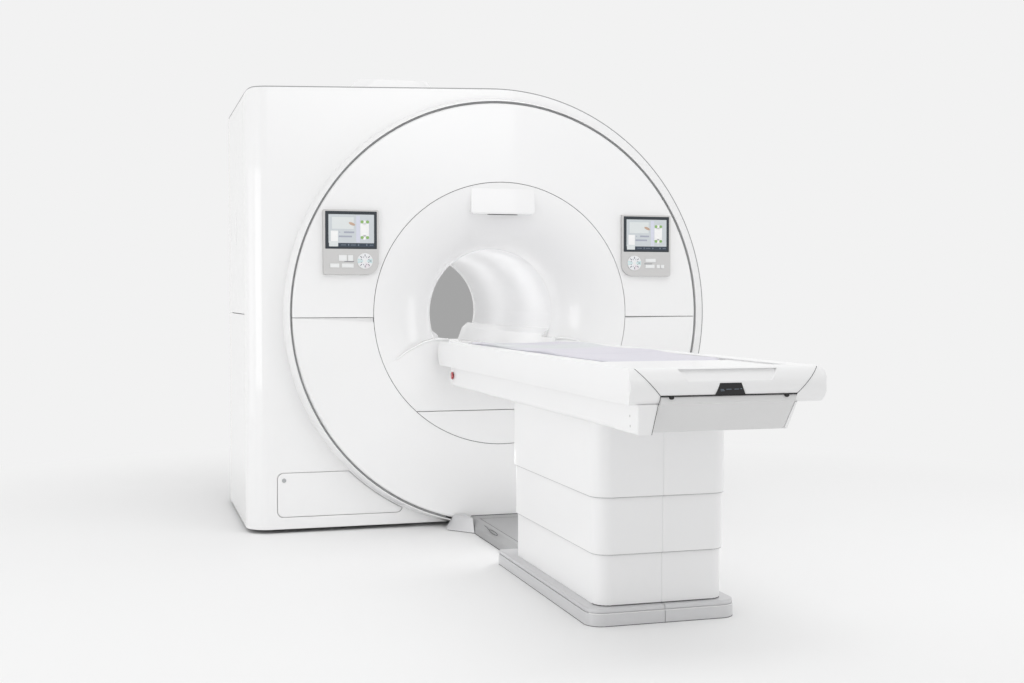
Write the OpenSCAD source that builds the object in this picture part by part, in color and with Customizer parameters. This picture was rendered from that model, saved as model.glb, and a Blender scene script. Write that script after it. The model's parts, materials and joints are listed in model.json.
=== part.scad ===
// MRI scanner: a round-fronted magnet gantry with a lifting patient table.
// The origin lies on the floor under the middle of the magnet. The patient's bore runs along Y,
// the table stands in front at -Y, and +Z is up.

/* [Gantry] */
// Height of the bore axis above the floor
bore_h = 1074; // [1050:1:1100]
// Length of the gantry from the front disc to the rear wall
gantry_l = 1950; // [1930:10:2100]
// Radius of the round side of the body, behind the front disc
body_r = 1140; // [1125:1:1180]
// Distance from the bore axis to the flat left side
left_w = 1262; // [1230:1:1320]
// Fall of the roof line towards the left shoulder, in degrees
roof_fall = 1.9; // [1:0.1:3]
// Half width of the body at the floor on its round side
plinth_w = 800; // [700:10:860]
// Radius of the left shoulder, seen from the front
shoulder_r = 45; // [20:1:80]
// Radius of the upright corner between the front and the left side
corner_r = 110; // [60:1:125]
// How far the disc stands in front of the body's front face
disc_proud = 93; // [80:1:105]
// Distance from the disc's plane back to the upright side seam
seam_depth = 220; // [215:1:240]
// Length of the straight left side, from the disc's plane
side_l = 1150; // [1000:10:1300]
// How far each side closes in from there to the rear wall
rear_taper = 162; // [80:1:200]
// Thickness of the body covers
wall = 12; // [8:0.5:14]
// Width of the open seams between covers
seam = 3; // [2:0.5:4]
// Gap between the covers and the floor
floor_gap = 20; // [10:1:30]
// Height of the side seam and of the seam across the disc
side_seam_z = 1070; // [1000:1:1100]
// Height of the seam between the side covers and the roof on the round side
roof_seam_z = 1850; // [1700:1:1950]

/* [Disc] */
// Radius of the front disc
disc_r = 1055; // [1045:1:1058]
// Radius of the round seam between the disc and the funnel
ring_r = 657; // [640:1:680]
// How far the disc's rim lies behind its inner edge
disc_bulge = 10; // [4:1:16]
// Radius of the disc's rounded rim
disc_edge_r = 14; // [12.5:0.5:20]
// Width of the dark joint around the disc
joint_w = 9; // [6:0.5:12]
// Width of the sloping collar around the joint
collar_w = 24; // [16:1:30]
// Height of the seam between the disc's upper and lower covers
disc_seam_z = 1056; // [1040:1:1066]
// Height of the grip groove at its tall end
groove_h = 20; // [10:1:30]
// Depth of the grip groove
groove_d = 12; // [8:1:16]

/* [Bore] */
// Inner radius of the patient bore
bore_r = 330; // [315:1:332]
// Depth of the front funnel
funnel_d = 229; // [200:1:230]
// Radius of the rear funnel's mouth
rear_mouth_r = 430; // [380:1:480]
// Distance from the disc's plane to the rear end of the straight bore
bore_end = 1785; // [1740:1:1800]
// Thickness of the bore's lining tube
liner_wall = 8; // [5:0.5:8]
// Height of the deck that the cradle runs on, at the raised table's height
deck_z = 885; // [870:1:890]
// Half width of the deck's flat bottom
deck_w = 255; // [252:1:262]
// Height of the apron's upper edge beside the deck
apron_z = 948; // [940:1:955]
// Height of the seam across the apron
apron_seam_z = 589; // [520:1:640]

/* [Magnet] */
// Room between the magnet vessel and the body's round side
vessel_gap = 205; // [190:1:240]
// Half length of the magnet vessel
vessel_half = 725; // [700:1:728]
// Radius of the vessel's warm bore
warm_bore_r = 446; // [440:1:460]
// Wall of the magnet vessel
vessel_wall = 10; // [8:1:14]
// Half distance between the magnet's feet across the bore
foot_x = 450; // [400:5:500]
// Distance from the middle of a foot to its anchor hole
anchor_out = 80; // [60:1:90]
// Half distance between the magnet's feet along the bore
foot_y = 500; // [400:5:550]
// Radius of the anchor holes in the magnet's feet
anchor_r = 11; // [9:0.5:14]

/* [Roof turret] */
// Left end of the turret cover, from the bore axis
turret_left = 662; // [620:1:700]
// Right end of the turret cover, from the bore axis
turret_right = 207; // [160:1:240]
// How far the turret cover stands above the body's round top
turret_rise = 112; // [90:1:140]
// Distance from the origin to the turret's middle, towards the front
turret_y = 75; // [0:5:120]
// Half length of the turret cover
turret_half = 250; // [200:5:300]

/* [Control panels] */
// Width of a control panel
panel_w = 270; // [262:1:276]
// Height of a control panel
panel_h = 315; // [312:1:320]
// Distance from the bore axis to a panel's inner edge
panel_x = 635; // [632:1:642]
// Height of a panel's lower edge
panel_z = 1265; // [1255:1:1275]
// How far a panel stands out of the disc
panel_proud = 14; // [10:1:20]
// Radius of the panel's large corner
panel_corner = 60; // [40:1:70]
// Radius of the dial
dial_r = 38; // [34:0.5:40]
// Travel of a key
key_travel = 1.5; // [1:0.1:2]

/* [Service hatch] */
// Distance from the bore axis to the hatch's left edge
hatch_left = 1118; // [1105:1:1125]
// Height of the hatch's upper edge
hatch_top = 294; // [280:1:320]
// Height of the hatch's lower edge
hatch_low = 80; // [70:1:95]
// Radius of the hatch's turning lock
lock_r = 10; // [8:0.5:12]

/* [Table] */
// Distance from the disc's plane to the table's near end
table_gap = 30; // [20:1:40]
// Length of the cover at the table's foot end, behind the cradle
cap_l = 128; // [110:1:150]
// Half width of the table top at its rails
table_w = 344; // [338:1:352]
// Height of the rails' upper edge
rail_top = 935; // [930:1:940]
// Height of the rails' lower edge
rail_low = 820; // [812:1:830]
// Radius of the upright corners at the table's foot end
foot_corner = 10; // [8:1:30]
// Half width of the lower frame
frame_w = 310; // [300:1:318]
// Height of the lower frame's underside
frame_low = 726; // [715:1:740]
// Distance that the table can be lowered
lift_travel = 360; // [200:5:360]

/* [Cradle] */
// Length of the sliding cradle
cradle_l = 2400; // [2300:5:2500]
// Half width of the cradle
cradle_w = 250; // [240:1:251]
// Half width of the mattress
pad_w = 238; // [225:1:240]
// Length of the mattress
pad_l = 1850; // [1700:5:1900]
// Thickness of the mattress at its middle
pad_t = 24; // [20:1:30]
// Radius of the cradle's shallow dish
dish_r = 1500; // [1300:10:1800]
// Radius of the mattress's hollowed top
pad_dish_r = 3000; // [2600:50:4000]
// Distance that the cradle slides into the bore
cradle_travel = 1700; // [1400:10:1900]

/* [Pedestal] */
// Half width of the upper pedestal cover
tier_w = 260; // [252:1:264]
// Length of the upper pedestal cover
tier_l = 1043; // [1020:1:1050]
// Distance from the disc's plane to the pedestal's near end
tier_gap = 1010; // [1000:1:1020]
// Corner radius of the upper pedestal cover
tier_r = 70; // [50:1:80]
// Height of the seam under the upper cover
tier_seam_2 = 452; // [448:1:460]
// Height of the seam under the middle cover
tier_seam_1 = 248; // [246:1:260]
// Thickness of the pedestal covers
tier_wall = 6.7; // [5:0.1:7]
// Thickness of the aluminium base
base_t = 64; // [60:1:66]
// Half width of the aluminium base
base_w = 285.5; // [275:0.5:290]
// Radius of the anchor holes in the base
base_hole_r = 7; // [5:0.5:9]

/* [Floor bridge] */
// Half width of the floor bridge at the floor
bridge_w = 195; // [180:1:210]
// Height of the floor bridge
bridge_h = 56; // [45:1:60]
// Half width of the bridge's brackets at the gantry
bracket_w = 300; // [280:1:320]

/* [Hidden] */
$fn = 96;
fit = 0.3;
clear = 0.5;
meet = 0.6;
least_r = 4;
far = 4000;

front_y = -gantry_l / 2;
rear_y = gantry_l / 2;
face_y = front_y + disc_proud;
seam_y = front_y + seam_depth;
side_end_y = front_y + side_l;
throat_y = front_y + funnel_d;
liner_end_y = front_y + bore_end;
rear_cap_l = 272;
rear_seam_y = rear_y - rear_cap_l;
turret_z = bore_h + body_r + turret_rise;
vessel_r = body_r - vessel_gap;
joint_r = disc_r + joint_w;
collar_r = joint_r + collar_w;

cradle_back = 25;
cap_gap = 3;
pad_back = 145;
base_lead = 90;
base_toe = 18;
table_y = front_y - table_gap;
cradle_y = table_y - cradle_back;
cradle_foot_y = cradle_y - cradle_l;
cap_back_y = cradle_foot_y - cap_gap;
foot_end_y = cap_back_y - cap_l;
table_l = table_y - foot_end_y;
pad_y = cradle_y - pad_back;
tier_near_y = front_y - tier_gap;
tier_mid_y = tier_near_y - tier_l / 2;
tier_play = 0.8;
tier_step = tier_wall + tier_play;
base_near_y = tier_near_y + base_lead;
base_far_y = tier_near_y - tier_l - base_toe;

// Helpers

// A shape drawn in X and Z, drawn out along Y
module along_y(y0, y1) {
    translate([0, y1, 0]) rotate([90, 0, 0]) linear_extrude(y1 - y0) children();
}

// A shape drawn in Y and Z, drawn out along X
module along_x(x0, x1) {
    translate([x0, 0, 0]) rotate([90, 0, 90]) linear_extrude(x1 - x0) children();
}

// A profile of radius and Y, turned about the bore axis
module around_bore() {
    translate([0, 0, bore_h]) rotate([-90, 0, 0]) rotate_extrude($fn = 180) children();
}

// A tube about the bore axis
module bore_tube(r_in, r_out, y0, y1) {
    around_bore() translate([r_in, y0]) square([r_out - r_in, y1 - y0]);
}

// A block between two corners
module box(low, high) {
    translate(low) cube(high - low);
}

// The half plane below a height, in X and Z
module below(z) {
    translate([-far, z - far]) square([2 * far, far]);
}

// A rectangle with round corners, from its lower left corner
module rounded(w, h, r) {
    for (x = [r, w - r], y = [r, h - r]) translate([x, y]) circle(r);
    translate([r, 0]) square([w - 2 * r, h]);
    translate([0, r]) square([w, h - 2 * r]);
}

function mirrored(points) = [for (i = [len(points) - 1:-1:0]) [-points[i][0], points[i][1]]];
function lowered(points, drop) = [for (p = points) [p[0], p[1] - drop]];
function reversed(points) = [for (i = [len(points) - 1:-1:0]) points[i]];

// Gantry body

// Height of the roof at a distance from the bore axis, for a body drawn in by inset.
// The roof line and the toe line meet the round side a hair inside it, for a clean edge.
function roof_z(x, inset) =
    let (r = body_r - inset - meet, touch = -r * sin(roof_fall))
    bore_h + r * cos(roof_fall) - (touch - x) * tan(roof_fall);

// Outline of the body from the front: round on the right, square with a shoulder on the left
module body_outline(inset, low) {
    r = body_r - inset;
    line_r = r - meet;
    left = -left_w + inset;
    toe = [plinth_w - inset, low];
    toe_far = norm(toe - [0, bore_h]);
    toe_turn = atan2(low - bore_h, toe[0]) + acos(line_r / toe_far);
    bend = max(shoulder_r - inset, least_r);
    bend_z = roof_z(left + bend, inset) - bend;
    difference() {
        union() {
            translate([0, bore_h]) circle(r, $fn = 180);
            polygon([
                [left, low], toe, [line_r * cos(toe_turn), bore_h + line_r * sin(toe_turn)], [0, bore_h],
                [-line_r * sin(roof_fall), bore_h + line_r * cos(roof_fall)],
                [left + bend, roof_z(left + bend, inset)], [left, bend_z]
            ]);
            translate([left + bend, bend_z]) circle(bend);
        }
        below(low);
    }
}

// Plan of the body: a round front left corner and sides that close in towards the rear
module body_plan(inset) {
    left = -left_w + inset;
    right = body_r - inset;
    front = face_y + inset;
    rear = rear_y - inset;
    bend = max(corner_r - inset, least_r);
    translate([left + bend, front + bend]) circle(bend);
    polygon([
        [left + bend, front], [right, front], [right, side_end_y],
        [right - rear_taper, rear], [left + rear_taper, rear], [left, side_end_y],
        [left, front + bend]
    ]);
}

// A slice of the body between two planes across Y, drawn in by inset
module body_slice(inset, y0, y1, low) {
    intersection() {
        along_y(y0, y1) body_outline(inset, low);
        linear_extrude(far) body_plan(inset);
    }
}

// The body's skin between two planes across Y, open at the floor
module body_skin(y0, y1) {
    difference() {
        body_slice(0, y0, y1, floor_gap);
        body_slice(wall, y0 - 1, y1 + 1, floor_gap - 1);
    }
}

hatch_t = wall - fit;
hatch_right = 500;
hatch_corner = 30;
hatch_margin = 7;
lock_in = 31;
lock_down = 35;
lock_x = -hatch_left + lock_in;
lock_z = hatch_top - lock_down;

// Outline of the service hatch, drawn out by grow
module hatch_outline(grow) {
    difference() {
        translate([-hatch_left - grow, hatch_low - grow])
            rounded(hatch_left - hatch_right + 2 * grow, hatch_top - hatch_low + 2 * grow, hatch_corner);
        translate([0, bore_h]) circle(collar_r + hatch_margin - grow, $fn = 180);
    }
}

module front_cover() {
    rebate = 12;
    ledge = 20;
    ledge_t = 8;
    collar_lip = 5;
    color("white") difference() {
        union() {
            difference() {
                body_slice(0, face_y, seam_y, floor_gap);
                body_slice(wall, face_y, seam_y + 1, floor_gap - 1);
            }
            intersection() {
                union() {
                    bore_tube(joint_r, joint_r + wall, face_y, seam_y);
                    around_bore() polygon([
                        [joint_r, front_y + disc_bulge], [joint_r + collar_lip, front_y + disc_bulge],
                        [collar_r, face_y + 1], [joint_r, face_y + 1]
                    ]);
                }
                translate([-far / 2, front_y - 1, floor_gap]) cube(far);
            }
            along_y(face_y + wall, face_y + wall + ledge_t) hatch_outline(ledge);
        }
        around_bore() translate([0, front_y - 1]) square([joint_r, seam_depth + 2]);
        along_y(face_y - 1, face_y + wall) hatch_outline(seam);
        along_y(face_y, face_y + wall + ledge_t + 1) hatch_outline(-rebate);
    }
}

module service_hatch() {
    color("white") difference() {
        along_y(face_y, face_y + hatch_t) hatch_outline(0);
        translate([lock_x, face_y - 1, lock_z]) rotate([-90, 0, 0]) cylinder(r = lock_r + fit, h = wall + 2);
    }
}

module hatch_lock() {
    proud = 1.5;
    key_l = 1.2 * lock_r;
    key_w = 2;
    key_d = 3;
    color("silver") translate([lock_x, face_y - proud, lock_z]) rotate([-90, 0, 0]) difference() {
        cylinder(r = lock_r, h = wall);
        translate([-key_l / 2, -key_w / 2, -1]) cube([key_l, key_w, key_d]);
    }
}

// Distance from the left side to the seam that runs along the roof
roof_seam_in = 72;
// Where the service port stands, under the turret, and the hole for it
turret_port_x = -(turret_left + turret_right) / 2;
port_r = 130;
port_hole_r = port_r + 30;

module roof_cover() {
    color("white") difference() {
        intersection() {
            body_skin(seam_y + seam, rear_seam_y);
            box([-left_w + roof_seam_in, seam_y, roof_seam_z], [far, rear_y, far]);
        }
        translate([turret_port_x, -turret_y, roof_seam_z]) cylinder(r = port_hole_r, h = far);
    }
}

// The two slots in the left side, from the front: place along the side, middle height and height
slots = [[640, 1520, 174], [970, 1518, 84]];
slot_w = 12;
slot_deep = 50;

module left_upper_cover() {
    color("white") difference() {
        intersection() {
            body_skin(seam_y + seam, rear_seam_y);
            union() {
                box([-far, seam_y, side_seam_z + seam], [-left_w + roof_seam_in - seam, rear_y, far]);
                // Towards the rear the side leans in past the roof's seam
                box([-far, seam_y, side_seam_z + seam], [0, rear_y, roof_seam_z - seam]);
            }
        }
        for (s = slots)
            box([-far, front_y + s[0] - slot_w / 2, s[1] - s[2] / 2],
                [-left_w + slot_deep, front_y + s[0] + slot_w / 2, s[1] + s[2] / 2]);
    }
}

module left_lower_cover() {
    color("white") intersection() {
        body_skin(seam_y + seam, rear_seam_y);
        box([-far, seam_y, 0], [0, rear_y, side_seam_z]);
    }
}

module right_cover() {
    color("white") intersection() {
        body_skin(seam_y + seam, rear_seam_y);
        box([0, seam_y, 0], [far, rear_y, roof_seam_z - seam]);
    }
}

module rear_cover() {
    color("white") difference() {
        body_slice(0, rear_seam_y + seam, rear_y, floor_gap);
        body_slice(wall, rear_seam_y, rear_y, floor_gap - 1);
        around_bore() translate([0, rear_seam_y]) square([rear_mouth_r + clear, far]);
    }
}

module turret_cover() {
    skin = 5;
    slope = 55;
    corner = 70;
    shoulder = 45;
    edge = 14;
    edge_fall = 20;
    low = roof_z(-turret_left, 0) - 40;
    module form(inset) {
        x0 = -turret_left + inset;
        x1 = -turret_right - inset;
        top = turret_z - inset;
        intersection() {
            along_y(-turret_y - turret_half + inset, -turret_y + turret_half - inset) polygon([
                [x0, low], [x0, turret_z - shoulder], [x0 + slope, top], [x1 - edge, top],
                [x1, turret_z - edge_fall], [x1, low]
            ]);
            translate([-turret_left, -turret_y - turret_half, 0])
                linear_extrude(far) rounded(turret_left - turret_right, 2 * turret_half, corner);
        }
    }
    color("white") difference() {
        form(0);
        form(skin);
        body_slice(-fit, seam_y, rear_y, 0);
    }
}

// Disc and funnel

// Profile of the disc's skin: a face that falls back to a rounded rim, and a side wall
module disc_profile() {
    rim_y = front_y + disc_bulge;
    difference() {
        union() {
            polygon([
                [ring_r + seam, front_y], [disc_r - disc_edge_r, rim_y],
                [disc_r - disc_edge_r, rim_y + wall], [ring_r + seam, front_y + wall]
            ]);
            translate([disc_r - disc_edge_r, rim_y + disc_edge_r]) circle(disc_edge_r);
            translate([disc_r - wall, rim_y + disc_edge_r]) square([wall, disc_proud]);
        }
        translate([0, rim_y + wall]) square([disc_r - wall, far]);
    }
}

// The part of the disc that lies above or below its seam, with the grip groove in the lower one
module disc_skin() {
    around_bore() disc_profile();
}

module disc_cover_upper() {
    hole_d = 60;
    color("white") difference() {
        disc_skin();
        box([-far, front_y - 1, -far], [far, rear_y, disc_seam_z + seam / 2]);
        for (side = [-1, 1]) mirror([side < 0 ? 1 : 0, 0, 0])
            along_y(front_y - 1, front_y + hole_d) panel_outline(clear);
    }
}

module disc_cover_lower() {
    edge_z = disc_seam_z - seam / 2;
    right_groove_h = 5;
    rib_in = 20;
    rib_out = 30;
    rib_d = 36;
    rib_h = 60;
    color("white") difference() {
        union() {
            disc_skin();
            for (side = [-1, 1]) mirror([side < 0 ? 1 : 0, 0, 0])
                box([ring_r + rib_in, front_y + wall - 2, edge_z - rib_h],
                    [disc_r - rib_out, front_y + rib_d, edge_z]);
        }
        box([-far, front_y - 1, edge_z], [far, rear_y, far]);
        along_y(front_y - 1, front_y + groove_d) polygon([
            [-disc_r - 1, edge_z + 1], [-disc_r - 1, edge_z],
            [-ring_r, edge_z - groove_h], [-ring_r, edge_z + 1]
        ]);
        along_y(front_y - 1, front_y + groove_d) polygon([
            [ring_r, edge_z + 1], [ring_r, edge_z - right_groove_h],
            [disc_r + 1, edge_z], [disc_r + 1, edge_z + 1]
        ]);
    }
}

module disc_joint_seal() {
    proud = 40;
    sunk = 10;
    color("dimgray") intersection() {
        bore_tube(disc_r + fit, joint_r - fit, face_y - proud, face_y + sunk);
        box([-far / 2, front_y, floor_gap], [far / 2, rear_y, far]);
    }
}

// The funnel's curve is a quarter of an ellipse from the ring seam to the bore
function funnel_curve(r_far, r_near, y_far, y_near, inset) = [
    for (i = [0:20]) let (t = 4.5 * i)
    [
        r_far - (r_far - r_near - inset) * sin(t),
        y_near - sign(y_near - y_far) * (abs(y_near - y_far) - inset) * cos(t)
    ]
];

// Inner radius of the frame's ring behind the funnel
frame_ring_in = ring_r - 12;

// Edge of the apron on one side, from the deck outwards
apron_edge = [
    [deck_w, deck_z], [deck_w + 24, apron_z], [331, apron_z], [398, apron_z - 12],
    [486, apron_z - 55], [550, apron_z - 99], [600, apron_z - 124], [700, apron_z - 170]
];
// Edge of the bridge inside the bore on one side, from the deck outwards
bridge_edge = [[deck_w, deck_z], [deck_w + 29, deck_z + 76], [deck_w + 72, deck_z + 113]];

// Everything below an edge line and its mirror image
module under(edge) {
    polygon(concat(mirrored(edge), edge, [[edge[len(edge) - 1][0], 0], [-edge[len(edge) - 1][0], 0]]));
}

// A sheet of an even drop under an edge line and its mirror image
module sheet_under(edge, drop) {
    line = concat(mirrored(edge), edge);
    polygon(concat(line, reversed(lowered(line, drop))));
}

module bore_funnel() {
    color("white") difference() {
        around_bore() polygon(concat(
            funnel_curve(ring_r, bore_r, front_y, throat_y, 0),
            reversed(funnel_curve(ring_r, bore_r, front_y, throat_y, wall))
        ));
        along_y(front_y - 1, throat_y + 1) translate([0, clear]) under(apron_edge);
    }
}

module apron_cover() {
    sheet_t = 10;
    color("white") {
        along_y(front_y + 1, front_y + 1 + wall) difference() {
            intersection() {
                translate([0, bore_h]) circle(ring_r, $fn = 180);
                under(apron_edge);
            }
            below(apron_seam_z + seam / 2);
        }
        along_y(front_y + 1, throat_y - fit) intersection() {
            translate([0, bore_h]) circle(frame_ring_in - 1, $fn = 180);
            sheet_under(apron_edge, sheet_t);
        }
    }
}

module lower_front_panel() {
    color("white") along_y(front_y + 1, front_y + 1 + wall) intersection() {
        translate([0, bore_h]) circle(ring_r, $fn = 180);
        below(apron_seam_z - seam / 2);
    }
}

visor_w = 165;
visor_low = 1572;
visor_top = 1700;
visor_r = 14;
visor_brow = 9;
visor_lip = 7;
visor_d = 60;

module laser_visor() {
    color("white") difference() {
        intersection() {
            along_x(-visor_w, visor_w) polygon([
                [front_y - 1, visor_top], [front_y - visor_brow, visor_low + 10],
                [front_y - visor_lip, visor_low], [front_y + visor_d, visor_low], [front_y + visor_d, visor_top]
            ]);
            along_y(front_y - 2 * visor_brow, front_y + visor_d + 1) translate([-visor_w, visor_low])
                rounded(2 * visor_w, visor_top - visor_low, visor_r);
        }
        around_bore() polygon(concat(
            [for (p = funnel_curve(ring_r, bore_r, front_y, throat_y, 0)) [p[0], p[1] - fit]],
            [[bore_r, far], [ring_r + visor_d, far], [ring_r + visor_d, front_y - fit]]
        ));
    }
}

module laser_window() {
    half = 75;
    glass_t = 3.5;
    glass_d = 20;
    color("black") box([-half, front_y - 4, visor_low - glass_t], [half, front_y + glass_d, visor_low - fit]);
}

// Bore, coils and magnet

coil_gap = 0.4;
coil_in_r = bore_r + liner_wall + coil_gap;
body_coil_t = 18;
gradient_in_r = coil_in_r + body_coil_t;
gradient_half = vessel_half - 75;

module bore_liner() {
    color("white") bore_tube(bore_r, bore_r + liner_wall, throat_y + fit, liner_end_y);
}

module body_coil() {
    rungs = 16;
    rung_w = 28;
    half = 260;
    ring_w = 40;
    former_over = 40;
    former_t = 6;
    out_r = gradient_in_r - coil_gap;
    color("orange") {
        bore_tube(coil_in_r, coil_in_r + former_t, -half - former_over, half + former_over);
        for (y = [-half, half - ring_w]) bore_tube(coil_in_r + former_t - 0.5, out_r, y, y + ring_w);
        intersection() {
            bore_tube(coil_in_r + former_t - 0.5, out_r - 1.6, -half + 1, half - 1);
            for (i = [0:rungs - 1]) translate([0, 0, bore_h]) rotate([0, i * 360 / rungs, 0])
                box([coil_in_r, -half, -rung_w / 2], [gradient_in_r + body_coil_t / 2, half, rung_w / 2]);
        }
    }
}

module gradient_coil() {
    color("khaki") bore_tube(gradient_in_r, warm_bore_r - coil_gap, -gradient_half, gradient_half);
}

port_rise = 90;
port_top = bore_h + vessel_r + port_rise;
anchor_x = foot_x + anchor_out;

module magnet_vessel() {
    edge = 80;
    foot_w = 240;
    foot_l = 200;
    foot_t = 30;
    web = 60;
    web_h = 500;
    port_low = bore_h + 0.64 * vessel_r;
    color("gainsboro") difference() {
        union() {
            around_bore() {
                translate([warm_bore_r, -vessel_half]) square([vessel_r - edge - warm_bore_r, 2 * vessel_half]);
                translate([warm_bore_r, -vessel_half + edge])
                    square([vessel_r - warm_bore_r, 2 * (vessel_half - edge)]);
                for (y = [-1, 1]) translate([vessel_r - edge, y * (vessel_half - edge)]) circle(edge);
            }
            translate([turret_port_x, -turret_y, port_low]) cylinder(r = port_r, h = port_top - port_low);
            for (x = [-foot_x, foot_x], y = [-foot_y, foot_y]) {
                box([x - foot_w / 2, y - foot_l / 2, 0], [x + foot_w / 2, y + foot_l / 2, foot_t]);
                box([x - web / 2, y - foot_l / 2, 0], [x + web / 2, y + foot_l / 2, web_h]);
            }
        }
        around_bore() difference() {
            translate([warm_bore_r + vessel_wall, -vessel_half + vessel_wall])
                square([vessel_r - warm_bore_r - 2 * vessel_wall, 2 * (vessel_half - vessel_wall)]);
            for (y = [-1, 1]) translate([vessel_r - edge, y * vessel_half - (y > 0 ? edge : 0)]) difference() {
                square([edge, edge]);
                translate([0, y > 0 ? 0 : edge]) circle(edge - vessel_wall);
            }
        }
        for (x = [-anchor_x, anchor_x], y = [-foot_y, foot_y])
            translate([x, y, -1]) cylinder(r = anchor_r, h = foot_t + 2);
        around_bore() translate([0, -vessel_half - 1]) square([warm_bore_r, 2 * vessel_half + 2]);
    }
}

module magnet_coils() {
    former_in = warm_bore_r + vessel_wall + 15;
    former_out = former_in + 12;
    former_half = vessel_half - 105;
    end_coil_t = 70;
    coil_t = 45;
    coil_half = 45;
    end_y = former_half - 60;
    mid_y = 350;
    near_y = 120;
    plate_y = 480;
    plate_half = 6;
    plate_r = vessel_r - 90;
    hoop_in = plate_r - 50;
    hoop_half = 50;
    rod_r = 14;
    rod_x = 700;
    rod_end = vessel_half - vessel_wall - fit;
    color("peru") {
        bore_tube(former_in, former_out, -former_half, former_half);
        for (side = [-1, 1]) {
            bore_tube(former_out - 0.5, former_out + end_coil_t,
                side * end_y - coil_half, side * end_y + coil_half);
            for (y = [mid_y, near_y])
                bore_tube(former_out - 0.5, former_out + coil_t, side * y - coil_half, side * y + coil_half);
            bore_tube(former_out - 0.5, plate_r, side * plate_y - plate_half, side * plate_y + plate_half);
            bore_tube(hoop_in, plate_r - 1, side * plate_y - hoop_half, side * plate_y + hoop_half);
        }
        for (side = [-1, 1], a = [45:90:315])
            translate([0, 0, bore_h]) rotate([0, a, 0]) translate([rod_x, 0, 0]) rotate([-90 * side, 0, 0])
                translate([0, 0, plate_y]) cylinder(r = rod_r, h = rod_end - plate_y);
    }
}

module cold_head() {
    flange_r = 100;
    flange_t = 16;
    stem_r = 48;
    stem_l = 120;
    stage_r = 66;
    stage_l = 60;
    motor_r = 58;
    motor_gap = 20;
    color("lightgray") translate([turret_port_x, -turret_y, port_top + fit]) {
        cylinder(r = flange_r, h = flange_t);
        cylinder(r = stem_r, h = stem_l);
        cylinder(r = stage_r, h = stage_l);
        translate([0, 0, stem_l - 1]) cylinder(r = motor_r, h = turret_z - port_top - stem_l - motor_gap + 1);
    }
}

module bore_bridge() {
    deck_t = 12;
    web = 14;
    web_x = 170;
    web_low = bore_h - bore_r;
    end_gap = 15;
    color("white") along_y(throat_y + fit, rear_y - end_gap) intersection() {
        translate([0, bore_h]) circle(bore_r - fit, $fn = 180);
        union() {
            difference() {
                under(bridge_edge);
                below(deck_z - deck_t);
            }
            for (x = [-web_x, 0, web_x])
                translate([x - web / 2, web_low]) square([web, deck_z - web_low - 1]);
        }
    }
}

module rear_funnel() {
    skin = 10;
    color("white") around_bore() polygon(concat(
        funnel_curve(rear_mouth_r, bore_r, rear_y, liner_end_y + fit, 0),
        reversed(funnel_curve(rear_mouth_r, bore_r, rear_y, liner_end_y + fit, skin))
    ));
}

// The frame that the covers hang on: a plate at each end of the magnet and a ring behind the disc
module cover_frame() {
    plate_t = 20;
    plate_in = 700;
    rear_plate_out = 820;
    plate_low = 60;
    arm = 60;
    arm_z = 450;
    ring_gap = 1.5;
    ring_out = ring_r + 15;
    ring_t = 8;
    rod_r = 11;
    rod_x = ring_r + 3;
    spoke_w = 30;
    ring_y = front_y + wall + ring_gap;
    plate_end = -vessel_half - fit;
    // One plate with arms that reach the covers around it
    module plate(y0, y1, r_in, r_out) {
        r_mid = (r_in + r_out) / 2;
        intersection() {
            body_slice(wall + 0.4, y0, y1, plate_low);
            union() {
                bore_tube(r_in, r_out, y0, y1);
                for (side = [-1, 1])
                    box([-far, y0, bore_h + side * arm_z - arm / 2],
                        [-sqrt(r_mid * r_mid - arm_z * arm_z), y1, bore_h + side * arm_z + arm / 2]);
                box([r_mid, y0, bore_h - arm / 2], [far, y1, bore_h + arm / 2]);
                box([-arm / 2, y0, bore_h + r_mid], [arm / 2, y1, far]);
            }
        }
    }
    color("gray") {
        plate(seam_y + fit, plate_end, plate_in, joint_r + wall);
        plate(vessel_half + fit, vessel_half + fit + plate_t, plate_in, rear_plate_out);
        bore_tube(frame_ring_in, ring_out, ring_y, ring_y + ring_t);
        for (a = [30:60:330]) translate([0, 0, bore_h]) rotate([0, a, 0]) {
            translate([rod_x, ring_y + ring_t - 1, 0]) rotate([-90, 0, 0])
                cylinder(r = rod_r, h = plate_end - ring_y - ring_t + 1);
            box([rod_x - rod_r, seam_y + 2, -spoke_w / 2], [plate_in + 10, plate_end, spoke_w / 2]);
        }
    }
}

// Control panels

// Outline of the right hand panel, drawn out by grow
module panel_outline(grow) {
    x0 = panel_x - grow;
    x1 = panel_x + panel_w + grow;
    z0 = panel_z - grow;
    z1 = panel_z + panel_h + grow;
    big = panel_corner + grow;
    small = panel_small_r + grow;
    translate([x0 + big, z0 + big]) circle(big);
    for (c = [[x1 - small, z0 + small], [x0 + small, z1 - small], [x1 - small, z1 - small]])
        translate(c) circle(small);
    translate([x0 + big, z0]) square([x1 - small - x0 - big, z1 - z0]);
    translate([x0, z0 + big]) square([x1 - x0, z1 - small - z0 - big]);
    translate([x0 + small, z0 + big]) square([x1 - x0 - 2 * small, z1 - z0 - big]);
    translate([x1 - small - 1, z0 + small]) square([small + 1, z1 - z0 - 2 * small]);
}

panel_face_y = front_y - panel_proud;
panel_back = 28;
panel_small_r = 8;
screen_t = 4;
screen_side = 9;
screen_up = 125;
screen_over = 8;
key_deep = 3.2;
key_proud = 2.5;
key_r = 2;
key_gap = 0.4;
dial_in = 68;
dial_up = 67;
dial_x = panel_x + dial_in;
dial_z = panel_z + dial_up;
dial_t = 6.6;
dial_proud = 3;
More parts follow.
